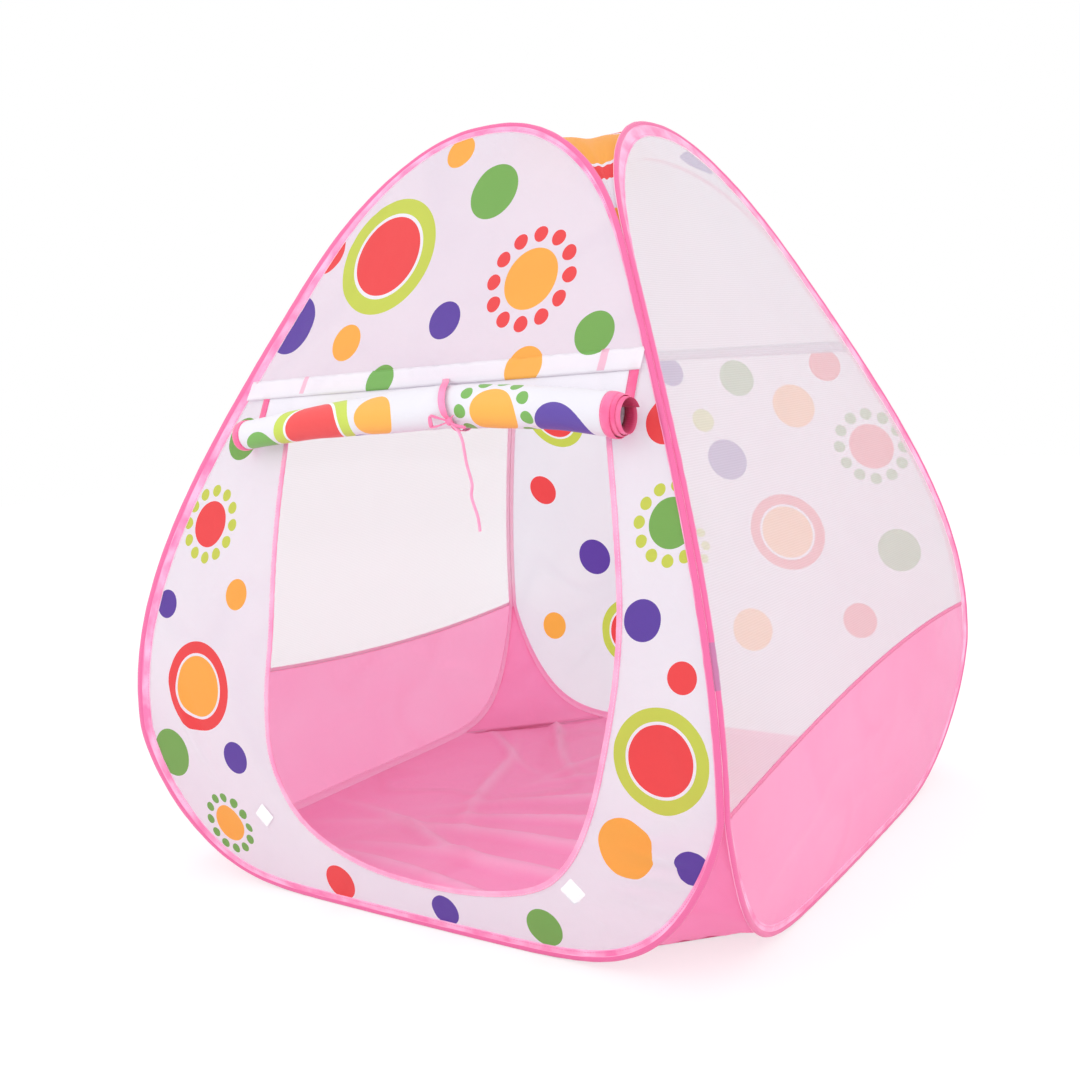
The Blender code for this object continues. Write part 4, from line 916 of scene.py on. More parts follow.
# %% Sleeves
SIDE_TURNS = np.radians(np.arange(36, 325, 24))
FRONT_LIP = 0.0058
SEAM_LIP = 0.0010
LIP_RISE, LIP_TOP, LIP_FADE = 0.10, 0.97, 0.12
FLANGE_ROOT = TAPE_RADIUS * 0.8
FLANGE_SHARES = (1.0, 0.93, 0.66, 0.36, 0.12)
FLANGE_OUTS = (0.0011, 0.0014, 0.0012, 0.0012, 0.0016)
FLANGE_RIPPLE = 0.0004
BEAD_SWELL = 0.04
INSIDE_SHIFT = 0.0001


def tape_section(widths, lip, ripple, twist):
    """Section of the folded tape, (inward, out, distance round): front flange, outer fold, back flange."""
    front = []
    for share, out in zip(FLANGE_SHARES, FLANGE_OUTS):
        front.append((FLANGE_ROOT + (widths - FLANGE_ROOT) * share, out + FLANGE_RIPPLE * ripple * share,
                      (widths - TAPE_RADIUS) * (1 - share)))
    radius = TAPE_RADIUS * (1.0 + BEAD_SWELL * twist)
    bead = []
    for turn in SIDE_TURNS:
        round_bead = FOLD_AT + TAPE_RADIUS * min(turn, 2 * math.pi - turn)
        bead.append(((radius + lip / 2) * math.cos(turn) - lip / 2, radius * math.sin(turn),
                     math.copysign(round_bead, math.pi - turn)))
    back = [(a, -o, -v - INSIDE_SHIFT) for a, o, v in reversed(front)]
    return front + bead + back


for wall in WALLS:
    phase = WALLS.index(wall) * 0.37
    ripple = wave_noise(LENGTHS + phase, (0.0205, 0.4), (0.0442, 0.5))
    twist = wave_noise(LENGTHS + phase, (0.033, 0.6), (0.081, 0.6))
    lip = np.full(len(LOOP), SEAM_LIP)
    if wall == "front":
        rising = np.clip(LOOP[:, 1] / LIP_RISE, 0, 1) * np.clip((LIP_TOP - LOOP[:, 1]) / LIP_FADE, 0, 1)
        lip = np.maximum(lip, FRONT_LIP * rising * (LOOP[:, 0] < 0))
    section = tape_section(LOOP_TAPES[wall], lip, ripple, twist)
    points, faces, flat = band(LOOP_FRAMES, section, LENGTHS, closed=True)
    points[:, 2] = np.maximum(points[:, 2], 0.0001)
    finish = edge_tape
    if wall == "right":
        finish = bound_tape("folded_polyester_tape_over_joint", mark=LENGTHS[joint], **EDGE_TAPE)
    across = np.repeat(LOOP[:, 0], len(section))
    for piece in halves(f"{wall}_edge_tape", points, faces, flat, finish, wall, across):
        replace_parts(piece, f"{wall}_wire_sleeve")
print("sleeve sections have", len(section), "points")

# %% [markdown]
# ## Cutting the wall cloth
# A wall's cloth is cut to an outline in (across, height) and filled with an even mesh of triangles that is
# finer near its edges, where sewing puckers it. Then it is laid on the wall's surface and moved in or out by
# its folds, its puckers and a slow billow.


# %% Cloth mesher
CLOTH_STEP = 0.010
EDGE_RINGS = (0.0035, 0.0075)


def within(outline, places):
    """Which places lie inside a closed outline."""
    starts, ends = outline, np.roll(outline, -1, axis=0)
    hits = np.zeros(len(places), int)
    for (ax, ay), (bx, by) in zip(starts, ends):
        crossing = (ay > places[:, 1]) != (by > places[:, 1])
        edge = ax + (bx - ax) * (places[:, 1] - ay) / (by - ay if by != ay else 1.0)
        hits += crossing & (places[:, 0] < edge)
    return hits % 2 == 1


def nearest(edge, places):
    """Distance from each place to a line of points, and the number of the nearest point."""
    found = [((edge - p) ** 2).sum(1).argmin() for p in places]
    return np.linalg.norm(edge[found] - places, axis=1), np.array(found)


def fill(outline, step=CLOTH_STEP):
    """Triangles inside an outline, graded towards its edge, with an edge line up the wall's middle."""
    rows = []
    for a, b in zip(outline, np.roll(outline, -1, axis=0)):
        rows.append(a)
        if a[0] * b[0] < 0:
            rows.append(a + (b - a) * (a[0] / (a[0] - b[0])))
    outline = np.array(rows)
    outline[np.abs(outline[:, 0]) < 1e-7, 0] = 0.0
    low, high = outline.min(0), outline.max(0)
    grid = [(x + (row % 2) * step / 2, z) for row, z in enumerate(np.arange(low[1], high[1], step * 0.87))
            for x in np.arange(low[0], high[0], step)]
    grid = np.array(grid)
    grid = grid[np.abs(grid[:, 0]) > step * 0.45]
    run = np.roll(outline, -1, axis=0) - np.roll(outline, 1, axis=0)
    run /= np.maximum(np.linalg.norm(run, axis=1), 1e-9)[:, None]
    side = np.stack([-run[:, 1], run[:, 0]], axis=1)
    if not within(outline, outline[:1] + side[:1] * 1e-3)[0]:
        side = -side
    places = [grid[(nearest(outline, grid)[0] > step * 0.8)]]
    for reach in EDGE_RINGS:
        ring = (outline + side * reach)[::2]
        keep = (nearest(outline, ring)[0] > reach * 0.93) & (np.abs(ring[:, 0]) > reach * 0.6)
        places.append(ring[keep])
    places = np.concatenate(places)
    places = places[within(outline, places)]
    crossings = sorted(outline[outline[:, 0] == 0.0, 1])
    middle = []
    links = []
    for start, end in zip(crossings[::2], crossings[1::2]):
        heights = np.linspace(start, end, max(2, round((end - start) / step)) + 1)
        first = len(outline) + len(places) + len(middle)
        ends = [int(np.argmin(np.abs(outline[:, 0]) + np.abs(outline[:, 1] - h))) for h in (start, end)]
        inner = [(0.0, h) for h in heights[1:-1]]
        chain = [ends[0]] + list(range(first, first + len(inner))) + [ends[1]]
        links += list(zip(chain, chain[1:]))
        middle += inner
    stack = [outline, places] + ([np.array(middle)] if middle else [])
    every = np.concatenate(stack)
    result = delaunay_2d_cdt([Vector(p) for p in every], links, [list(range(len(outline)))], 1, 1e-7)
    points = np.array([tuple(v) for v in result[0]])
    return points, [tuple(f) for f in result[2]]


def folds_out(places, folds):
    """Outward rise of soft folds, each (across, height, angle, length, width, depth)."""
    total = np.zeros(len(places))
    for across, height, angle, length, width, depth in folds:
        cos, sin = math.cos(math.radians(angle)), math.sin(math.radians(angle))
        offset = places - (across, height)
        along = offset @ (cos, sin)
        aside = offset @ (-sin, cos) + 0.12 * length * np.sin(along / length * 1.7)
        profile = (1 - (aside / width) ** 2) * np.exp(-(aside / width) ** 2)
        total += depth * np.exp(-(along / length) ** 2) * profile
    return total


def billow(places, phase):
    """A slow rise and fall of slack cloth, about a millimetre."""
    x, z = places[:, 0], places[:, 1]
    return 0.0010 * (np.sin(9 * x + 5 * z + phase) + np.sin(13 * z - 7 * x + 2 * phase))


def declare(piece):
    """Read a cloth piece's flat cut from its own UV map; nothing more is done with it."""
    cut = np.empty(len(piece.data.loops) * 2, np.float32)
    piece.data.uv_layers["flat"].data.foreach_get("uv", cut)
    cut = cut.reshape(-1, 2)


PUCKER = 0.0009
PUCKER_REACH = 0.016
SEAM_PUCKER_REACH = 0.02
SEWN_FLAT = 0.004
CALM_REACH = 0.05
FOLDS_START = 0.02


def wall_cloth(name, outline, finish, wall, nodes, folds=(), edges=(), phase=0.0):
    """Cut, lay and fold a wall's cloth, in two halves that stand for its solids."""
    places, faces = fill(outline)
    distance, station = nearest(LOOP, places)
    beyond = np.maximum(0.0, distance - LOOP_TAPES[wall][station])
    gather = wave_noise(LENGTHS + phase, (0.016, 0.7), (0.027, 0.6))[station]
    out = PUCKER * gather * np.exp(-beyond / PUCKER_REACH) * np.clip(beyond / SEWN_FLAT, 0, 1)
    calm = np.clip(beyond / CALM_REACH, 0, 1)
    for edge, strength in edges:
        reach, spot = nearest(edge, places)
        gather = wave_noise(distances_along(edge), (0.022, 0.8), (0.041, 0.6))[spot]
        loose = np.clip((reach - SEWN_FLAT) / CLOTH_STEP, 0, 1)
        out += strength * gather * np.exp(-reach / SEAM_PUCKER_REACH) * loose
        calm = np.minimum(calm, np.clip(reach / CALM_REACH, 0, 1))
    out += calm * billow(places, phase) + folds_out(places, folds) * np.clip(beyond / FOLDS_START, 0, 1)
    points = wall_points(places, out)
    pieces = halves(name, points, faces, places, finish, wall, places[:, 0])
    for piece in pieces:
        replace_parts(piece, *nodes)
        declare(piece)
    print(name, len(places), "points")
    return pieces


# %% [markdown]
# ## Front wall
# The front wall is two panels of printed cloth that meet at the header seam: one above it, and one below
# that frames the arched door opening.

# %% Front outlines
TUCK = TAPE_RADIUS + GAP
IN_PLANE = unit(np.roll(LOOP, -1, axis=0) - np.roll(LOOP, 1, axis=0))
IN_PLANE = np.stack([-IN_PLANE[:, 1], IN_PLANE[:, 0]], axis=1)
TUCKED = LOOP + IN_PLANE * TUCK
DOOR_EDGE_STEP, HEADER_STEP = 0.004, 0.008
DOOR_CENTRE, DOOR_HALF_WIDTH, DOOR_SILL, DOOR_TAPE_WIDTH = 0.0615, 0.2595, 0.064, 0.009
DOOR_ACROSS = (-1.085, -1.015, -0.95, -0.97, -0.955, -0.80, -0.45, 0.04,
               0.47, 0.71, 0.88, 0.985, 1.0, 0.94, 0.84, 0.75)
DOOR_RISES = (1.0, 0.767, 0.51, 0.34, 0.20, 0.08, 0.012, 0.0,
              0.032, 0.10, 0.23, 0.41, 0.56, 0.71, 0.87, 1.0)


def part_of_loop(keep):
    """The tucked edge's run of stations that keep a condition, in order round the loop."""
    flags = np.array([bool(keep(a, h)) for a, h in LOOP])
    first = [i for i in range(len(flags)) if flags[i] and not flags[i - 1]][0]
    run = []
    while flags[(first + len(run)) % len(flags)] and len(run) < len(flags):
        run.append((first + len(run)) % len(flags))
    return TUCKED[run]


door_places = []
for share, rise in zip(DOOR_ACROSS, DOOR_RISES):
    across = DOOR_CENTRE + DOOR_HALF_WIDTH * share
    top = header_height(across) - DOOR_TAPE_WIDTH / 3
    door_places.append((across, DOOR_SILL + (top - DOOR_SILL) * rise))
door_edge = even_steps(smooth_curve(door_places), step=DOOR_EDGE_STEP)
above = part_of_loop(lambda a, h: h > header_height(a))
below = part_of_loop(lambda a, h: h <= header_height(a))


def on_header(start, end):
    """Points along the header seam between two places across."""
    across = np.linspace(start, end, max(2, round(abs(end - start) / HEADER_STEP)))
    return np.stack([across, header_height(across)], axis=1)


upper_outline = np.concatenate([above, on_header(above[-1, 0], above[0, 0])])
lower_outline = np.concatenate([below, on_header(below[-1, 0], door_edge[-1, 0])[:-1], door_edge[::-1],
                                on_header(door_edge[0, 0], below[0, 0])[1:]])
print("door edge", len(door_edge), "points, sill at", round(float(door_edge[:, 1].min()), 3))

# %% Front panels
upper_folds = ((-0.20, 0.76, 62, 0.05, 0.020, 0.0020), (0.05, 0.70, 8, 0.10, 0.020, 0.0020),
               (0.20, 0.74, -50, 0.05, 0.018, 0.0018), (0.0, 0.94, 5, 0.06, 0.016, 0.0012))
lower_folds = ((0.375, 0.160, 18, 0.06, 0.013, 0.0065), (0.370, 0.130, 8, 0.07, 0.012, 0.0065),
               (0.350, 0.100, 2, 0.06, 0.012, 0.0050), (0.385, 0.205, 30, 0.04, 0.012, 0.0050),
               (0.392, 0.430, 74, 0.045, 0.010, 0.0022), (0.368, 0.540, 78, 0.050, 0.010, 0.0020),
               (0.300, 0.060, -12, 0.06, 0.012, 0.0026), (0.365, 0.300, 78, 0.06, 0.012, 0.0020),
               (-0.330, 0.190, -42, 0.06, 0.014, 0.0055), (-0.355, 0.240, -50, 0.05, 0.013, 0.0040),
               (-0.280, 0.110, -28, 0.06, 0.013, 0.0026), (-0.320, 0.420, 80, 0.07, 0.014, 0.0016))
# The upper panel takes the greyer copy of the printed cloth, which is painted shade.
wall_cloth("front_upper_cloth", upper_outline, shaded_upper_cloth, "front", ["front_upper_panel"], upper_folds,
           phase=0.4)
wall_cloth("front_lower_cloth", lower_outline, front_cloth, "front", ["front_lower_panel"], lower_folds,
           edges=[(door_edge, 0.0010)], phase=1.3)
print("front folds:", len(upper_folds) + len(lower_folds))

# %% [markdown]
# ## Back wall and side walls
# The back wall is printed below and plain white above a hemmed seam. Each side wall is net above and a
# solid pink skirt below, and the two meet on a curved seam that falls towards the front on the right side
# and towards the back on the left. A narrow doubled hem lies over the seam.

# %% Back cloth
SEAM_STEP = 0.006
BACK_HEM = 0.018
back_hem_shape = ((0.0, 0.0010), (BACK_HEM / 2, 0.0013), (BACK_HEM, 0.0009))
back_upper_folds = ((0.0, 0.80, 80, 0.12, 0.022, 0.0016),)
back_lower_folds = ((-0.28, 0.13, 35, 0.06, 0.014, 0.003), (0.28, 0.13, -35, 0.06, 0.014, 0.003),
                    (0.0, 0.30, 4, 0.20, 0.030, 0.002), (0.1, 0.58, -70, 0.10, 0.022, 0.002))
back_above = part_of_loop(lambda a, h: h > HEADER_RIGHT)
back_below = part_of_loop(lambda a, h: h <= HEADER_RIGHT)
straight = np.column_stack([np.linspace(back_above[-1, 0], back_above[0, 0], 90), np.full(90, HEADER_RIGHT)])
wall_cloth("back_upper_cloth", np.concatenate([back_above, straight]), plain_cloth, "back", ["back_panel"],
           back_upper_folds, phase=2.1)
wall_cloth("back_lower_cloth", np.concatenate([back_below, straight[::-1]]), back_cloth, "back",
           ["back_panel"], back_lower_folds, phase=2.4)
edge = frames_along(even_steps(straight, step=SEAM_STEP), closed=False)
steps = np.arange(len(edge[0])) * SEAM_STEP
section = [(a, o, a) for a, o in back_hem_shape] + [(a, -o, a) for a, o in reversed(back_hem_shape)]
points, faces, flat = band(edge, section, steps, closed=False)
for piece in halves("back_seam_hem", points, faces, flat, plain_cloth, "back", points[:, 0]):
    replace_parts(piece, "back_panel")
print("the back seam's hem is", BACK_HEM * 1000, "mm deep")

# %% Nets and skirts
SKIRT_HIGH = 0.264
SKIRT_BOW = 0.030
net_folds = ((0.0, 0.55, 85, 0.2, 0.04, 0.002),)
skirt_folds = ((-0.25, 0.12, 30, 0.09, 0.016, 0.0026), (0.25, 0.12, -35, 0.09, 0.018, 0.0026),
               (0.02, 0.10, 4, 0.16, 0.018, 0.0022), (-0.08, 0.17, 12, 0.12, 0.016, 0.0016))
skirt_hem_shape = ((-0.0005, 0.0006, 0.0), (0.0028, 0.0009, 0.003), (0.0056, 0.0007, 0.006),
                   (0.0056, 0.0004, 0.006), (0.0028, 0.0004, 0.003), (-0.0005, 0.0003, 0.0))


def skirt_seam(rise):
    """Curved seam between net and skirt, from the wall's left side to its right side."""
    ends = []
    for side, height in ((-1, SEAM_LOW), (1, SKIRT_HIGH)):
        fits = [i for i in range(len(LOOP)) if LOOP[i, 0] * side > 0]
        ends.append(TUCKED[min(fits, key=lambda i: abs(LOOP[i, 1] - height))])
    shares = np.linspace(0, 1, 110)
    line = ends[0] + (ends[1] - ends[0]) * shares[:, None]
    line[:, 1] += rise * 4 * shares * (1 - shares)
    return line


for wall, rise in (("right", SKIRT_BOW), ("left", -SKIRT_BOW)):
    seam = skirt_seam(rise)
    upper = part_of_loop(lambda a, h: h > np.interp(a, seam[:, 0], seam[:, 1]))
    lower = part_of_loop(lambda a, h: h <= np.interp(a, seam[:, 0], seam[:, 1]))
    wall_cloth(f"{wall}_net", np.concatenate([upper, seam]), net_cloth, wall, [f"{wall}_net_panel"],
               net_folds, edges=[(seam, 0.0008)], phase=3.0 + rise)
    wall_cloth(f"{wall}_skirt", np.concatenate([lower, seam[::-1]]), skirt_cloth, wall,
               [f"{wall}_skirt_panel"], skirt_folds, edges=[(seam, 0.0010)], phase=4.0 + rise)
    edge = frames_along(even_steps(seam, step=SEAM_STEP), closed=False)
    steps = np.arange(len(edge[0])) * SEAM_STEP
    wobble = 0.0002 * wave_noise(steps, (0.019, 1.0))
    section = [(a, o + wobble, v) for a, o, v in skirt_hem_shape]
    points, faces, flat = band(edge, section, steps, closed=False)
    for piece in halves(f"{wall}_skirt_hem", points, faces, flat, hem_cloth, wall, points[:, 0]):
        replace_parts(piece, f"{wall}_skirt_panel")
print("skirt seams climb from", SEAM_LOW, "to", SKIRT_HIGH, "m")

# %% [markdown]
# ## The door's edge binding
# A paler tape is folded over the cut edge of the door opening. It is as soft as the wall and follows its
# curve, with a small ripple where it turns tightly.

# %% Door binding
DOOR_BINDING_WIDTH = 0.0068
DOOR_BINDING_STEP = 0.0035
edge = even_steps(smooth_curve(door_places), step=DOOR_BINDING_STEP)
frames = frames_along(edge, closed=False, turn=-1.0)
steps = np.arange(len(edge)) * DOOR_BINDING_STEP
ripple = 0.0003 * wave_noise(steps, (0.012, 0.7), (0.021, 0.5))
front_lip = [(DOOR_BINDING_WIDTH, 0.0011), (0.0060, 0.0015), (0.0042, 0.0012), (0.0022, 0.0014),
             (0.0006, 0.0013)]
back_lip = [(a, -o) for a, o in reversed(front_lip)]
section = [(a, o + ripple, DOOR_BINDING_WIDTH - a) for a, o in front_lip]
section += [(-0.0003, ripple, DOOR_BINDING_WIDTH + 0.0005)]
section += [(a, o + ripple, DOOR_BINDING_WIDTH - a) for a, o in back_lip]
points, faces, flat = band(frames, section, steps, closed=False)
for piece in halves("door_binding", points, faces, flat, door_tape, "front", points[:, 0]):
    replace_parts(piece, "door_edge_binding")
print("door binding is", round(float(steps[-1]), 2), "m long")

# %% [markdown]
# ## Header hem
# The door is sewn into a hem that runs across the front wall on the header seam. It is a doubled strip of
# the printed cloth, so it looks whiter than the wall. It stands a little proud of the wall and is sewn down
# along both edges, and the door comes out from under its lower one.

# %% Header hem
HEM_END_INSET = 0.0068
HEM_END_GAP = 0.001
HEM_LOOSE_FROM, HEM_LOOSE_TO = 0.004, 0.017
hem_shape = ((-0.0078, 0.0010), (-0.0075, 0.0020), (-0.0040, 0.0017), (0.0, 0.0012), (0.0040, 0.0007),
             (0.0080, 0.0002), (0.0120, 0.0), (0.0155, -0.0006), (0.0168, -0.0013), (0.0180, -0.0006))
reach = half_width(HEADER_RIGHT) - CORNER_INSET - HEM_END_INSET - LOOSE - HEM_END_GAP
hem_stations = np.linspace(-reach, reach, 180)
ripple = 0.0004 * wave_noise(hem_stations, (0.024, 0.8), (0.039, 0.6))
profile = [(up, FLAP_OUT + proud) for up, proud in hem_shape] + [(0.0186, CLOTH)]
rows, flat = [], []
for up, out in profile:
    places = np.stack([hem_stations, header_height(hem_stations) + up], axis=1)
    rows.append(wall_points(places, out + ripple * (HEM_LOOSE_FROM < up < HEM_LOOSE_TO)))
    flat.append(places)
points = np.concatenate(rows)
faces = grid_faces(len(profile), len(hem_stations))
for piece in halves("header_hem", points, faces, np.concatenate(flat), header_cloth, "front", points[:, 0]):
    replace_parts(piece, "door_header_hem")
    declare(piece)
print("hem is", round((profile[-1][0] - profile[0][0]) * 1000, 1), "mm deep")

# %% [markdown]
# ## The rolled door
# The door's cloth is one sheet: it drops from the hem and is wound nearly three times into a roll, which
# bunches up under the hem where the tie lifts it. Where the ribbon squeezes it, the outer turn draws in,
# and shallow creases run away from the tie on both sides.

# %% Door cloth
FLAP_TAPE_WIDTH = 0.012
SQUEEZE_ACROSS, SQUEEZE_REACH, SQUEEZE_SHARE = 0.078, 0.020, 0.05
CREASE_ACROSS, CREASE_REACH, CREASE_DEPTH = 0.08, 0.07, 0.0005
BUNCH_ACROSS, BUNCH_REACH, BUNCH_LIFT, BUNCH_DROP = 0.03, 0.13, 0.0095, 0.0025
ROLL_END = 0.006


def bunched(turn, lift, drop):
    """How far a place round the roll is pushed down: the front half rises and the back half sinks."""
    return -lift * max(0.0, -math.sin(turn)) + drop * max(0.0, math.sin(turn))


def spiral(across, per_turn=30):
    """The door's section at places across: (out, down), share and length for the drop and each turn."""
    drop = roll_drop(across)
    rows = [(np.full_like(across, FLAP_OUT), FLAP_HANG_GAP + (drop - FLAP_HANG_GAP) * share)
            for share in (0, 0.25, 0.5, 0.75)]
    shares = [0.0] * len(rows)
    count = round(ROLL_TURNS * per_turn)
    for k in range(count + 1):
        turns = k / per_turn
        turn = math.pi - 2 * math.pi * turns
        squeeze = 1 - SQUEEZE_SHARE * np.exp(-((across - SQUEEZE_ACROSS) / SQUEEZE_REACH) ** 2)
        near_tie = np.exp(-np.abs(across - CREASE_ACROSS) / CREASE_REACH)
        crease = CREASE_DEPTH * np.sin(across * 190 + 2.4 * turn) * near_tie
        slack = 0.0005 * np.sin(across * 31 + turn * 1.2 + 1.0) + 0.0003 * np.sin(across * 67 - turn * 2.1)
        fade = min(1.0, k / 6) * (1 - 0.6 * k / count)
        radius = (roll_radius(across) - ROLL_PITCH * turns) * squeeze + (crease + slack) * fade
        out, down = round_roll(across, radius, turn)
        gather = np.exp(-((across - BUNCH_ACROSS) / BUNCH_REACH) ** 2) * fade
        rows.append((out, down + gather * bunched(turn, BUNCH_LIFT, BUNCH_DROP)))
        shares.append(k / count)
    line = np.array(rows)
    steps = np.linalg.norm(np.diff(line, axis=0), axis=1)
    lengths = np.concatenate((np.zeros((1, len(across))), np.cumsum(steps, axis=0)))
    return line, np.array(shares), lengths


across = np.linspace(ROLL_LEFT + ROLL_END, ROLL_RIGHT - ROLL_END, 150)
line, shares, lengths = spiral(across)
rows, flat = [], []
for k, share in enumerate(shares):
    row = hang(across, line[k, 0], line[k, 1])
    row[:, 0] += ROLL_SLIDE * roll_share(across) * share
    rows.append(row)
    flat.append(np.stack([across, lengths[k]], axis=1))
faces = grid_faces(len(shares), len(across))
door_cloth = new_piece("rolled_door_cloth", np.concatenate(rows), faces, np.concatenate(flat), roll_cloth)
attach(door_cloth, "door_flap")
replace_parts(door_cloth, "door_flap_roll")
declare(door_cloth)
print("the door's cloth is", round(float(lengths[-1].max()), 3), "m long as far as it is wound")

# %% Door end bindings
BINDING_HALVES = (0.0009, 0.0012, 0.0011, 0.0002)
BINDING_RING = [(j, 1) for j in range(4)] + [(j, -1) for j in range(3, -1, -1)]
BORE_FACES = range(4, 7)
BORE_FROM, DEEPER_FROM, DEEPER_SHARE = 0.3, 0.6, 1.6
roll_ends = (("left", ROLL_LEFT + FLAP_TAPE_WIDTH, ROLL_LEFT),
             ("right", ROLL_RIGHT - FLAP_TAPE_WIDTH, ROLL_RIGHT))
for word, start, end in roll_ends:
    places = np.linspace(start, end, len(BINDING_HALVES))
    line, shares, lengths = spiral(places)
    deeper = np.linspace((start - end) * DEEPER_SHARE, 0.0, len(places))
    points, flat = [], []
    for k, share in enumerate(shares):
        inner = max(0.0, share - DEEPER_FROM) / (1 - DEEPER_FROM)
        for j, face in BINDING_RING:
            before, after = line[max(0, k - 1), :, j], line[min(len(line) - 1, k + 1), :, j]
            run = (after - before) / np.linalg.norm(after - before)
            out = line[k, 0, j] - run[1] * BINDING_HALVES[j] * face
            down = line[k, 1, j] + run[0] * BINDING_HALVES[j] * face
            spot = hang(places[j], out, down)[0]
            spot[0] += ROLL_SLIDE * roll_share(places[j]) * share + deeper[j] * inner
            points.append(spot)
            flat.append((lengths[k, j], abs(places[j] - start)))
    faces = grid_faces(len(shares), len(BINDING_RING), ring=True)
    binding = new_piece(f"door_end_binding_{word}", points, faces, flat, end_tape)
    binding.data.materials.append(shaded_bore_tape)
    # The inner faces of the inner turns take the darker copy of the tape, which is painted shade in the bore.
    for i in range(round(len(shares) * BORE_FROM), len(shares) - 1):
        for k in BORE_FACES:
            binding.data.polygons[i * len(BINDING_RING) + k].material_index = 1
    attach(binding, "door_flap")
    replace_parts(binding, f"door_flap_binding_{word}")
print("end bindings are", FLAP_TAPE_WIDTH * 1000, "mm wide")

# %% [markdown]
# ## Ribbon and bow
# A narrow ribbon is sewn into the header, goes down in front of the roll, round under it and up behind, and
# its two ends meet in a half bow: a knot, one loop to the left, a short end to the right and the long end.

# %% Ribbon round the roll
TIE_TOP_ACROSS, TIE_FRONT_ACROSS, TIE_UNDER_ACROSS = 0.0390, 0.0720, 0.0850
TIE_LIFT, TIE_DROP = 0.0085, 0.0022
RIBBON_WIDTH = 0.010
RIBBON_SIDES = ((-1.0, 1.0), (-0.85, 0.6), (-0.3, 1.1), (0.3, 0.9), (0.85, 0.7), (1.0, 1.0))
RIBBON_RING = [0, 2, 4, 6, 8, 10, 11, 9, 7, 5, 3, 1]
DROP_STATIONS, WRAP_STATIONS = 8, 46
PINCH_STATION, PINCH_REACH, PINCH_SHARE = 30, 5.0, 0.35
start = np.array((FLAP_OUT + RIBBON_LIFT, FLAP_HANG_GAP + LOOSE))
centre = np.array(round_roll(TIE_TOP_ACROSS, 0.0, 0.0), float)
aside = start - centre
touch = math.acos((roll_radius(TIE_TOP_ACROSS) + RIBBON_LIFT) / float(np.linalg.norm(aside)))
first = math.atan2(aside[1], aside[0]) + touch
on_roll = np.array(round_roll(TIE_FRONT_ACROSS, roll_radius(TIE_FRONT_ACROSS) + RIBBON_LIFT, first), float)
on_roll[1] -= TIE_LIFT
path = []
for k in range(DROP_STATIONS):
    share = k / DROP_STATIONS
    spot = start + (on_roll - start) * share
    path.append((TIE_TOP_ACROSS + (TIE_FRONT_ACROSS - TIE_TOP_ACROSS) * share, *spot))
turn_marks = (first, KNOT_TURN * 0.7, KNOT_TURN)
for turn in first + (math.pi - first) * np.arange(WRAP_STATIONS) / (WRAP_STATIONS - 1):
    across = float(np.interp(turn, turn_marks, (TIE_FRONT_ACROSS, TIE_UNDER_ACROSS, TIE_ACROSS)))
    out, down = (float(v) for v in round_roll(across, roll_radius(across) + RIBBON_LIFT, turn))
    path.append((across, out, down + bunched(turn, TIE_LIFT, TIE_DROP)))
low, high = path[-1][2], FLAP_HANG_GAP + LOOSE
path += [(TIE_ACROSS, FLAP_OUT - RIBBON_LIFT, low * (1 - t) + high * t) for t in (0.3, 0.6, 1)]
path = np.array(path)
pinch = np.exp(-((np.arange(len(path)) - PINCH_STATION) / PINCH_REACH) ** 2)
widths = RIBBON_WIDTH * (1 - PINCH_SHARE * pinch)
gone = distances_along(path[:, 1:])
points, flat = [], []
for i, (across, out, down) in enumerate(path):
    before, after = path[max(0, i - 1), 1:], path[min(len(path) - 1, i + 1), 1:]
    run = (after - before) / np.linalg.norm(after - before)
    for side, swell in RIBBON_SIDES:
        for lift in (RIBBON_THICKNESS / 2 * swell, -RIBBON_THICKNESS / 2 * swell):
            spot = hang(across, out - run[1] * lift, down + run[0] * lift)[0]
            spot[0] += side * widths[i] / 2
            points.append(spot)
            flat.append((gone[i], side * widths[i] / 2))
faces = []
for here in range(0, len(points) - len(RIBBON_RING), len(RIBBON_RING)):
    there = here + len(RIBBON_RING)
    for one, next_one in zip(RIBBON_RING, RIBBON_RING[1:] + RIBBON_RING[:1]):
        faces.append((here + one, here + next_one, there + next_one, there + one))
ribbon = new_piece("tie_ribbon", points, faces, flat, tie_ribbon)
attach(ribbon, "door_flap")
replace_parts(ribbon, "door_tie_ribbon")
print("ribbon path", len(path), "stations")

# %% Knot, loop and short end
STRIP_RING = ((-1, -1), (-0.4, -1.3), (0.4, -1.3), (1, -1), (1, 1), (0.4, 0.7), (-0.4, 0.7), (-1, 1))


def strip(centres, widths, thick, facing):
    """A flat ribbon along centres, its width lying across its run and a facing direction."""
    run = unit(np.gradient(centres, axis=0))
    aside = unit(np.cross(run, np.broadcast_to(np.array(facing, float), centres.shape)))
    up = np.cross(aside, run)
    gone = distances_along(centres)
    points, flat = [], []
    for i, centre in enumerate(centres):
        for a, b in STRIP_RING:
            points.append(centre + aside[i] * a * widths[i] / 2 + up[i] * b * thick / 2)
            flat.append((gone[i], a * widths[i] / 2))
    return points, grid_faces(len(centres), len(STRIP_RING), ring=True), flat


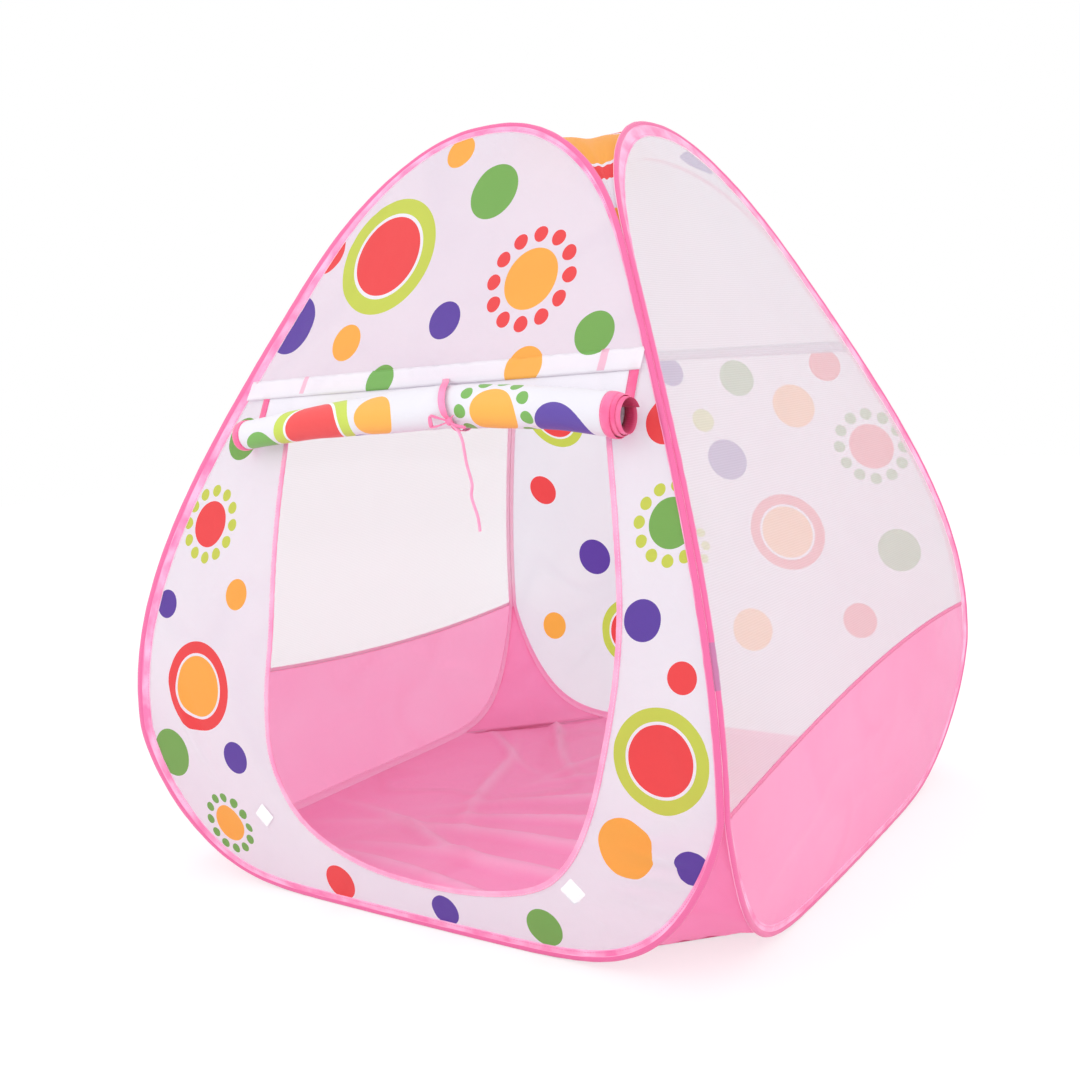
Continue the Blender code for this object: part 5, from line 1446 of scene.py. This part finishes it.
root = KNOT + OUT * 0.0015
loop_line = root + smooth_curve(((0.0, 0.0, 0.0), (-0.0080, -0.0010, 0.0022), (-0.0170, -0.0016, 0.0048),
                                 (-0.0245, -0.0018, 0.0066), (-0.0262, -0.0014, 0.0036),
                                 (-0.0258, -0.0006, -0.0040), (-0.0242, 0.0000, -0.0066),
                                 (-0.0165, 0.0002, -0.0056), (-0.0080, 0.0002, -0.0034),
                                 (0.0, 0.0, -0.0014)), per_span=6)
loop_shares = np.linspace(0, 1, len(loop_line))
loop_widths = 0.0022 + 0.0030 * np.sin(math.pi * loop_shares) ** 2
tip_line = root + smooth_curve(((0.0, 0.0, 0.0), (0.0060, -0.0006, -0.0034), (0.0150, -0.0010, -0.0062),
                                (0.0250, -0.0008, -0.0082)), per_span=6)
tip_widths = np.linspace(0.0020, 0.0040, len(tip_line))
stub_line = root + smooth_curve(((0.0, 0.0, 0.0), (0.0030, 0.0004, 0.0030), (0.0075, 0.0006, 0.0062)),
                                per_span=6)
stub_widths = np.linspace(0.0024, 0.0012, len(stub_line))
knot = bmesh.new()
bmesh.ops.create_uvsphere(knot, u_segments=24, v_segments=16, radius=1.0)
for v in knot.verts:
    groove = 1 - 0.10 * math.cos(5 * v.co.x + 3 * v.co.z) - 0.06 * math.sin(9 * v.co.z)
    v.co = Vector(x * radius for x, radius in zip(v.co, KNOT_RADII)) * groove * 0.95 + Vector(KNOT)
points = [tuple(v.co) for v in knot.verts]
faces = [tuple(v.index for v in f.verts) for f in knot.faces]
flat = [(x, z) for x, y, z in points]
knot.free()
for centres, widths, facing in ((loop_line, loop_widths, (0.0, -0.55, 0.85)),
                                (tip_line, tip_widths, (0.0, -1.0, 0.5)),
                                (stub_line, stub_widths, (0.0, -1.0, -0.3))):
    more, more_faces, more_flat = strip(centres, widths, RIBBON_THICKNESS, facing)
    faces += [tuple(i + len(points) for i in f) for f in more_faces]
    points += more
    flat += more_flat
bow = new_piece("tie_bow", points, faces, flat, tie_ribbon)
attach(bow, "door_flap")
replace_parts(bow, "door_tie_bow")
print("the bow has", len(points), "points")

# %% [markdown]
# ## Hook-and-loop patches
# Two squares of hook-and-loop fabric on the front wall hold the closed door. They are woven nylon, white,
# set cornerwise, with a dense field of tiny hooks and a flat sewn border.

# %% Patches
PATCH_SIDE = 0.024
PATCH_STEPS = 13
CORNER_FROM, CORNER_CUT = 0.92, 0.5
PATCH_LOW, PATCH_RISE, PATCH_GROOVE = 0.0006, 0.0012, 0.0005
sides = np.linspace(-0.5, 0.5, PATCH_STEPS)
for word, across, height in (("left", -0.224, 0.110), ("right", 0.254, 0.094)):
    places, outs, flat = [], [], []
    for v in sides:
        for u in sides:
            rim = 0.5 - max(abs(u), abs(v))
            shrink = 1 - max(0.0, abs(u) + abs(v) - CORNER_FROM) * CORNER_CUT
            x, y = u * shrink * PATCH_SIDE, v * shrink * PATCH_SIDE
            places.append((across + (x - y) / 2 ** 0.5, height + (x + y) / 2 ** 0.5))
            outs.append(PATCH_LOW + PATCH_RISE * min(1.0, rim / 0.10) - PATCH_GROOVE * (0.05 < rim < 0.12))
            flat.append((x, y))
    points = wall_points(np.array(places), np.array(outs))
    patch = new_piece(f"hook_square_{word}", points, grid_faces(PATCH_STEPS, PATCH_STEPS), flat, hook_fabric)
    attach(patch, "front_wall")
    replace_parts(patch, f"hook_patch_{word}")
print("patches are", PATCH_SIDE * 1000, "mm square")

# %% [markdown]
# ## Corner gussets
# Where the loops part near the ground, a pink gusset closes the corner. It is sewn behind both tapes, is
# wider than the gap it fills, and so it hangs inwards in folds that gather just above the floor.

# %% Gussets
BEHIND = -(TAPE_RADIUS + GAP + CLOTH / 2)
FLOOR_THICKNESS = 0.0010
FOOT_HEIGHT = FLOOR_THICKNESS + GAP
GUSSET_COLUMNS = 26
GUSSET_STARTS = 0.235
GUSSET_BELLY, FULL_WIDTH = 0.012, 0.2
FREE_HEIGHT = 0.012
TURNED_IN = 0.012
SPLIT_ANCHOR, SPLIT_KEEP = 0.42, 0.15


def over_corner(stations, shares):
    """A wall's tape at a corner, rows of points from it to the next wall's tape, and the gap's widths."""
    edge = LOOP_FRAMES[0][stations] + LOOP_FRAMES[2][stations] * BEHIND
    other = np.stack([-edge[:, 1], -edge[:, 0], edge[:, 2]], axis=1)
    rows = edge[:, None] * (1 - shares)[None, :, None] + other[:, None] * shares[None, :, None]
    return edge, rows, np.linalg.norm(other - edge, axis=1)


start_station = int(np.argmin(np.abs(HALF[:, 0] - GUSSET_STARTS) + (HALF[:, 1] > 0.1)))
end_station = int(np.argmin(np.abs(HALF[:, 1] - SEAM_LOW)))
shares = np.linspace(0, 1, GUSSET_COLUMNS + 1)
edge, rows, width = over_corner(np.arange(start_station, end_station + 1)[::2], shares)
rows[0, :, 2] = FOOT_HEIGHT
rise = rows[:, :, 2]
arch = np.sin(math.pi * shares)[None, :]
belly = arch * np.minimum(width, FULL_WIDTH)[:, None] / FULL_WIDTH
ripple = 0.0022 * np.sin(shares * 31 + 1)[None, :] * np.exp(-((rise - 0.022) / 0.014) ** 2)
tuck = 0.0024 * np.exp(-((rise - 0.016 - 0.004 * np.sin(shares * 9)[None, :]) / 0.005) ** 2)
draw = 0.0030 * np.sin(rise * 90 + 5 * shares[None, :]) * np.exp(-((rise - 0.09) / 0.06) ** 2)
free = np.clip((rise - FOOT_HEIGHT) / FREE_HEIGHT, 0, 1)
depth = free * (GUSSET_BELLY * belly + (ripple + tuck + draw) * arch ** 0.5)
inward = np.array((-1.0, 1.0, 0.0)) / 2 ** 0.5
rows += inward * depth[:, :, None]
rows[:, :, 2] = np.maximum(rows[:, :, 2], FOOT_HEIGHT)
turned_in = rows[:1] + inward * TURNED_IN
turned_in[:, :, 2] = GAP
rows = np.concatenate([turned_in, rows])
up_cloth = distances_along(np.concatenate([edge[:1], edge]))
width = np.concatenate([width[:1], width])
size = GUSSET_COLUMNS + 1
flat = np.stack([(shares - 0.5)[None, :] * width[:, None],
                 np.broadcast_to(up_cloth[:, None], rows.shape[:2])], axis=2).reshape(-1, 2)
faces = grid_faces(len(rows), size)
corner_halves = {"front_right": ("front", 1), "back_right": ("right", 1), "front_left": ("front", -1)}
split = (("back_wall", [f for f in faces if f[0] % size < size // 2], "fold_right_back", (0, 1, 0),
          (0, SPLIT_ANCHOR, 0)),
         ("left_wall", [f for f in faces if f[0] % size >= size // 2], "fold_front_left", (1, 0, 0),
          (-SPLIT_ANCHOR, 0, 0)))
for wall, corner in zip(WALLS, ("front_right", "back_right", "back_left", "front_left")):
    points = to_wall(rows.reshape(-1, 3), wall)
    if corner in corner_halves:
        made = [new_piece(f"gusset_{corner}", points, faces, flat, gusset_cloth)]
        fold_with(made[0], *corner_halves[corner])
    else:
        made = []
        for body, kept, fold, axis, anchor in split:
            piece = cut_out(f"gusset_{corner}_{body}", points, kept, flat, gusset_cloth)
            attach(piece, body)
            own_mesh(piece)
            made.append(piece)
    for piece in made:
        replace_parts(piece, f"corner_gusset_{corner}")
        declare(piece)
print("a gusset is", round(float(width.max()), 3), "m wide at the floor")

# %% [markdown]
# ## Roof cap
# The cap closes the top between the four loops. It hangs from their tops as a shallow bowl, with a point
# down each corner, and the pull between the four high points puts faint radial folds in it. It is one piece:
# as the tent folds, it stays on the front wall.

# %% Cap
CAP_SAG = 0.046
CAP_COLUMNS = 20
CAP_FOLDS, CAP_FOLD_DEPTH = 6, 0.0012
low = int(np.argmin(np.abs(HALF[:, 1] - SEAM_HIGH)))
stations = sorted({*range(low, len(HALF), 2), len(HALF) - 1})
shares = np.linspace(0, 1, CAP_COLUMNS + 1)
edge, quarter, width = over_corner(stations, shares)
spread = (width / width[-1]) ** 1.2
quarter[:, :, 2] -= CAP_SAG * spread[:, None] * 2 * (shares * (1 - shares))[None, :]
centre = np.array((0.0, 0.0, edge[-1, 2] - CAP_SAG))
inner_shares = np.linspace(0, 1, 15)[1:-1]
inner = quarter[-1][None] * (1 - inner_shares)[:, None, None] + centre * inner_shares[:, None, None]
inner[:, :, 2] -= CAP_SAG / 2 * (inner_shares * (1 - inner_shares))[:, None]
quarter = np.concatenate([quarter, inner])
order = np.arange(len(quarter))
ease = np.clip(order / 20, 0, 1) * np.clip((len(quarter) - order) / 8, 0, 1)
radial = np.sin(math.pi * shares * CAP_FOLDS) * np.sin(math.pi * shares)
quarter[:, :, 2] += CAP_FOLD_DEPTH * radial[None, :] * ease[:, None]
mesh = bmesh.new()
for wall in WALLS:
    corners = [mesh.verts.new(p) for p in to_wall(quarter.reshape(-1, 3), wall)]
    for face in grid_faces(len(quarter), len(shares)):
        mesh.faces.new([corners[i] for i in face])
    tip = mesh.verts.new(centre)
    rim = corners[-len(shares):]
    for one, next_one in zip(rim, rim[1:]):
        mesh.faces.new([one, next_one, tip])
bmesh.ops.remove_doubles(mesh, verts=mesh.verts[:], dist=0.00002)
bmesh.ops.recalc_face_normals(mesh, faces=mesh.faces[:])
mesh.verts.index_update()
points = [tuple(v.co) for v in mesh.verts]
faces = [tuple(v.index for v in f.verts) for f in mesh.faces]
mesh.free()
cap = new_piece("roof_cap_cloth", points, faces, [p[:2] for p in points], cap_cloth)
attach(cap, "front_wall")
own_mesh(cap)
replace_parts(cap, "roof_cap")
declare(cap)
print("the cap sags", CAP_SAG * 1000, "mm")

# %% [markdown]
# ## Floor
# The real floor is a single sheet of pink polyester, cut across its corners where the gussets start. It is
# never quite flat: folds run in from the corners and lie over in low ridges a few millimetres high. Here it
# is cut along its diagonals into four, because a real floor creases as the walls fold and a piece can draw
# in to one wall only.

# %% Floor cloth
FLOOR_TUCK = 0.0030
FLOOR_STEP = 0.009
RIDGE_CALM, TURN_UP_REACH = 0.03, 0.04
CREST_WIDTH_SHARE, CREST_DEPTH_SHARE = 0.35, 0.25
SWELL = 0.0016
FLOOR_RIDGES = (
    (0.10, -0.24, 8, 0.26, 0.020, 0.0120), (0.05, -0.14, 14, 0.28, 0.024, 0.0100),
    (0.12, -0.03, 22, 0.26, 0.020, 0.0110), (0.08, 0.08, 33, 0.24, 0.022, 0.0100),
    (-0.02, -0.32, 2, 0.26, 0.018, 0.0090), (-0.15, -0.20, -12, 0.18, 0.018, 0.0080),
    (0.20, 0.20, 50, 0.18, 0.016, 0.0080), (0.27, -0.20, 64, 0.14, 0.016, 0.0060),
    (-0.22, 0.05, -60, 0.18, 0.018, 0.0080), (-0.10, 0.25, 80, 0.14, 0.016, 0.0070),
    (0.02, 0.20, 44, 0.16, 0.016, 0.0080), (0.24, 0.02, -30, 0.14, 0.014, 0.0060),
    (-0.24, 0.28, -44, 0.16, 0.014, 0.0100), (-0.30, 0.20, -32, 0.12, 0.012, 0.0070),
)
foot = slice(0, start_station + 1)
edge = LOOP_FRAMES[0][foot] + LOOP_FRAMES[2][foot] * (BEHIND + FLOOR_TUCK)
side = np.concatenate([edge[:0:-1] * (-1, 1, 1), edge])[::4]
rim = np.concatenate([to_wall(side, wall) for wall in WALLS])
outline, rises = rim[:, :2], rim[:, 2]
places, faces = fill(outline, step=FLOOR_STEP)
distance, station = nearest(outline, places)
crests = [(x, y, angle, length, width * CREST_WIDTH_SHARE, depth * CREST_DEPTH_SHARE)
          for x, y, angle, length, width, depth in FLOOR_RIDGES]
swell = SWELL * (1 + np.sin(14 * places[:, 0] + 9 * places[:, 1])) / 2
lift = np.maximum(0.0, folds_out(places, FLOOR_RIDGES) + folds_out(places, crests)) + swell
lift *= np.clip(distance / RIDGE_CALM, 0, 1)
turned_up = np.maximum(0.0, rises[station] - FLOOR_THICKNESS)
lift += turned_up * np.clip(1 - distance / TURN_UP_REACH, 0, 1) ** 2
points = np.column_stack([places, FLOOR_THICKNESS + lift])
for piece in quarters("floor_cloth", points, faces, places, floor_cloth, "floor_panel"):
    declare(piece)
print("floor folds rise to", round(float(lift.max()) * 1000, 1), "mm")

# %% [markdown]
# ## Light and ground
# The photograph is lit softly from all round, with a little more light from the upper left front. An even
# white sky does most of it, and three broad softboxes, at the front left, the right and the back left, give
# the tapes their shine and the cloth the light that comes through it. The ground is a pale plane that looks
# white to the camera and still takes the tent's soft shadow.


# %% Ground
def seen_straight(tree):
    """One for rays that come straight from the camera or off a shiny or clear surface, else zero."""
    seen = node(tree, "LightPath")
    straight = node(tree, "Math", {0: seen.outputs["Is Camera Ray"], 1: seen.outputs["Is Glossy Ray"]},
                    operation="MAXIMUM")
    either = node(tree, "Math", {0: straight.outputs[0], 1: seen.outputs["Is Transmission Ray"]},
                  operation="MAXIMUM")
    return either.outputs[0]


GROUND_REACH = 6
GROUND_DROP = 0.0006
WHITE = (1, 1, 1, 1)
corners = [(x * GROUND_REACH, y * GROUND_REACH, 0) for x, y in ((-1, -1), (1, -1), (1, 1), (-1, 1))]
mesh = bpy.data.meshes.new("ground")
mesh.from_pydata(corners, [], [(0, 1, 2, 3)])
ground = bpy.data.objects.new("ground", mesh)
bpy.context.scene.collection.objects.link(ground)
ground.location.z = -GROUND_DROP
matt, tree, output = new_material("matt_white_backdrop_card")
coords = node(tree, "TexCoord").outputs["Object"]
grain = node(tree, "TexNoise", {"Vector": coords, "Scale": 4.0})
tone = node(tree, "Mix", {0: grain.outputs[0], 6: linear("#F6F6F7"), 7: linear("#FAFAFA")}, data_type="RGBA")
card = node(tree, "BsdfDiffuse", {"Color": tone.outputs[2]})
plain = node(tree, "Emission", {"Color": WHITE, "Strength": 1.08})
share = node(tree, "Math", {0: seen_straight(tree), 1: 0.62}, operation="MULTIPLY")
both = node(tree, "MixShader", {0: share.outputs[0], 1: card.outputs[0], 2: plain.outputs[0]})
tree.links.new(both.outputs[0], output.inputs["Surface"])
mesh.materials.append(matt)

# %% Sky and lamps
world = bpy.data.worlds.new("soft_white_room")
bpy.context.scene.world = world
world.use_nodes = True
tree = world.node_tree
tree.nodes.clear()
output = tree.nodes.new("ShaderNodeOutputWorld")
level = node(tree, "MapRange", {"Value": seen_straight(tree), "To Min": 1.10, "To Max": 1.0})
sky = node(tree, "Background", {"Color": WHITE, "Strength": level.outputs[0]})
tree.links.new(sky.outputs[0], output.inputs["Surface"])
AIM = Vector((0, 0, 0.45))
for name, place, power, size in (("front_softbox", (-1.1, -2.6, 2.4), 16.0, 2.0),
                                 ("right_softbox", (2.6, -0.6, 1.8), 10.0, 1.8),
                                 ("back_softbox", (-1.7, 2.2, 2.0), 12.0, 1.8)):
    lamp = bpy.data.lights.new(name, "AREA")
    lamp.energy = power
    lamp.size = size
    holder = bpy.data.objects.new(name, lamp)
    bpy.context.scene.collection.objects.link(holder)
    holder.location = place
    holder.rotation_euler = (AIM - Vector(place)).to_track_quat("-Z", "Y").to_euler()
bpy.context.scene.view_settings.view_transform = "Standard"
print("sky and three softboxes")
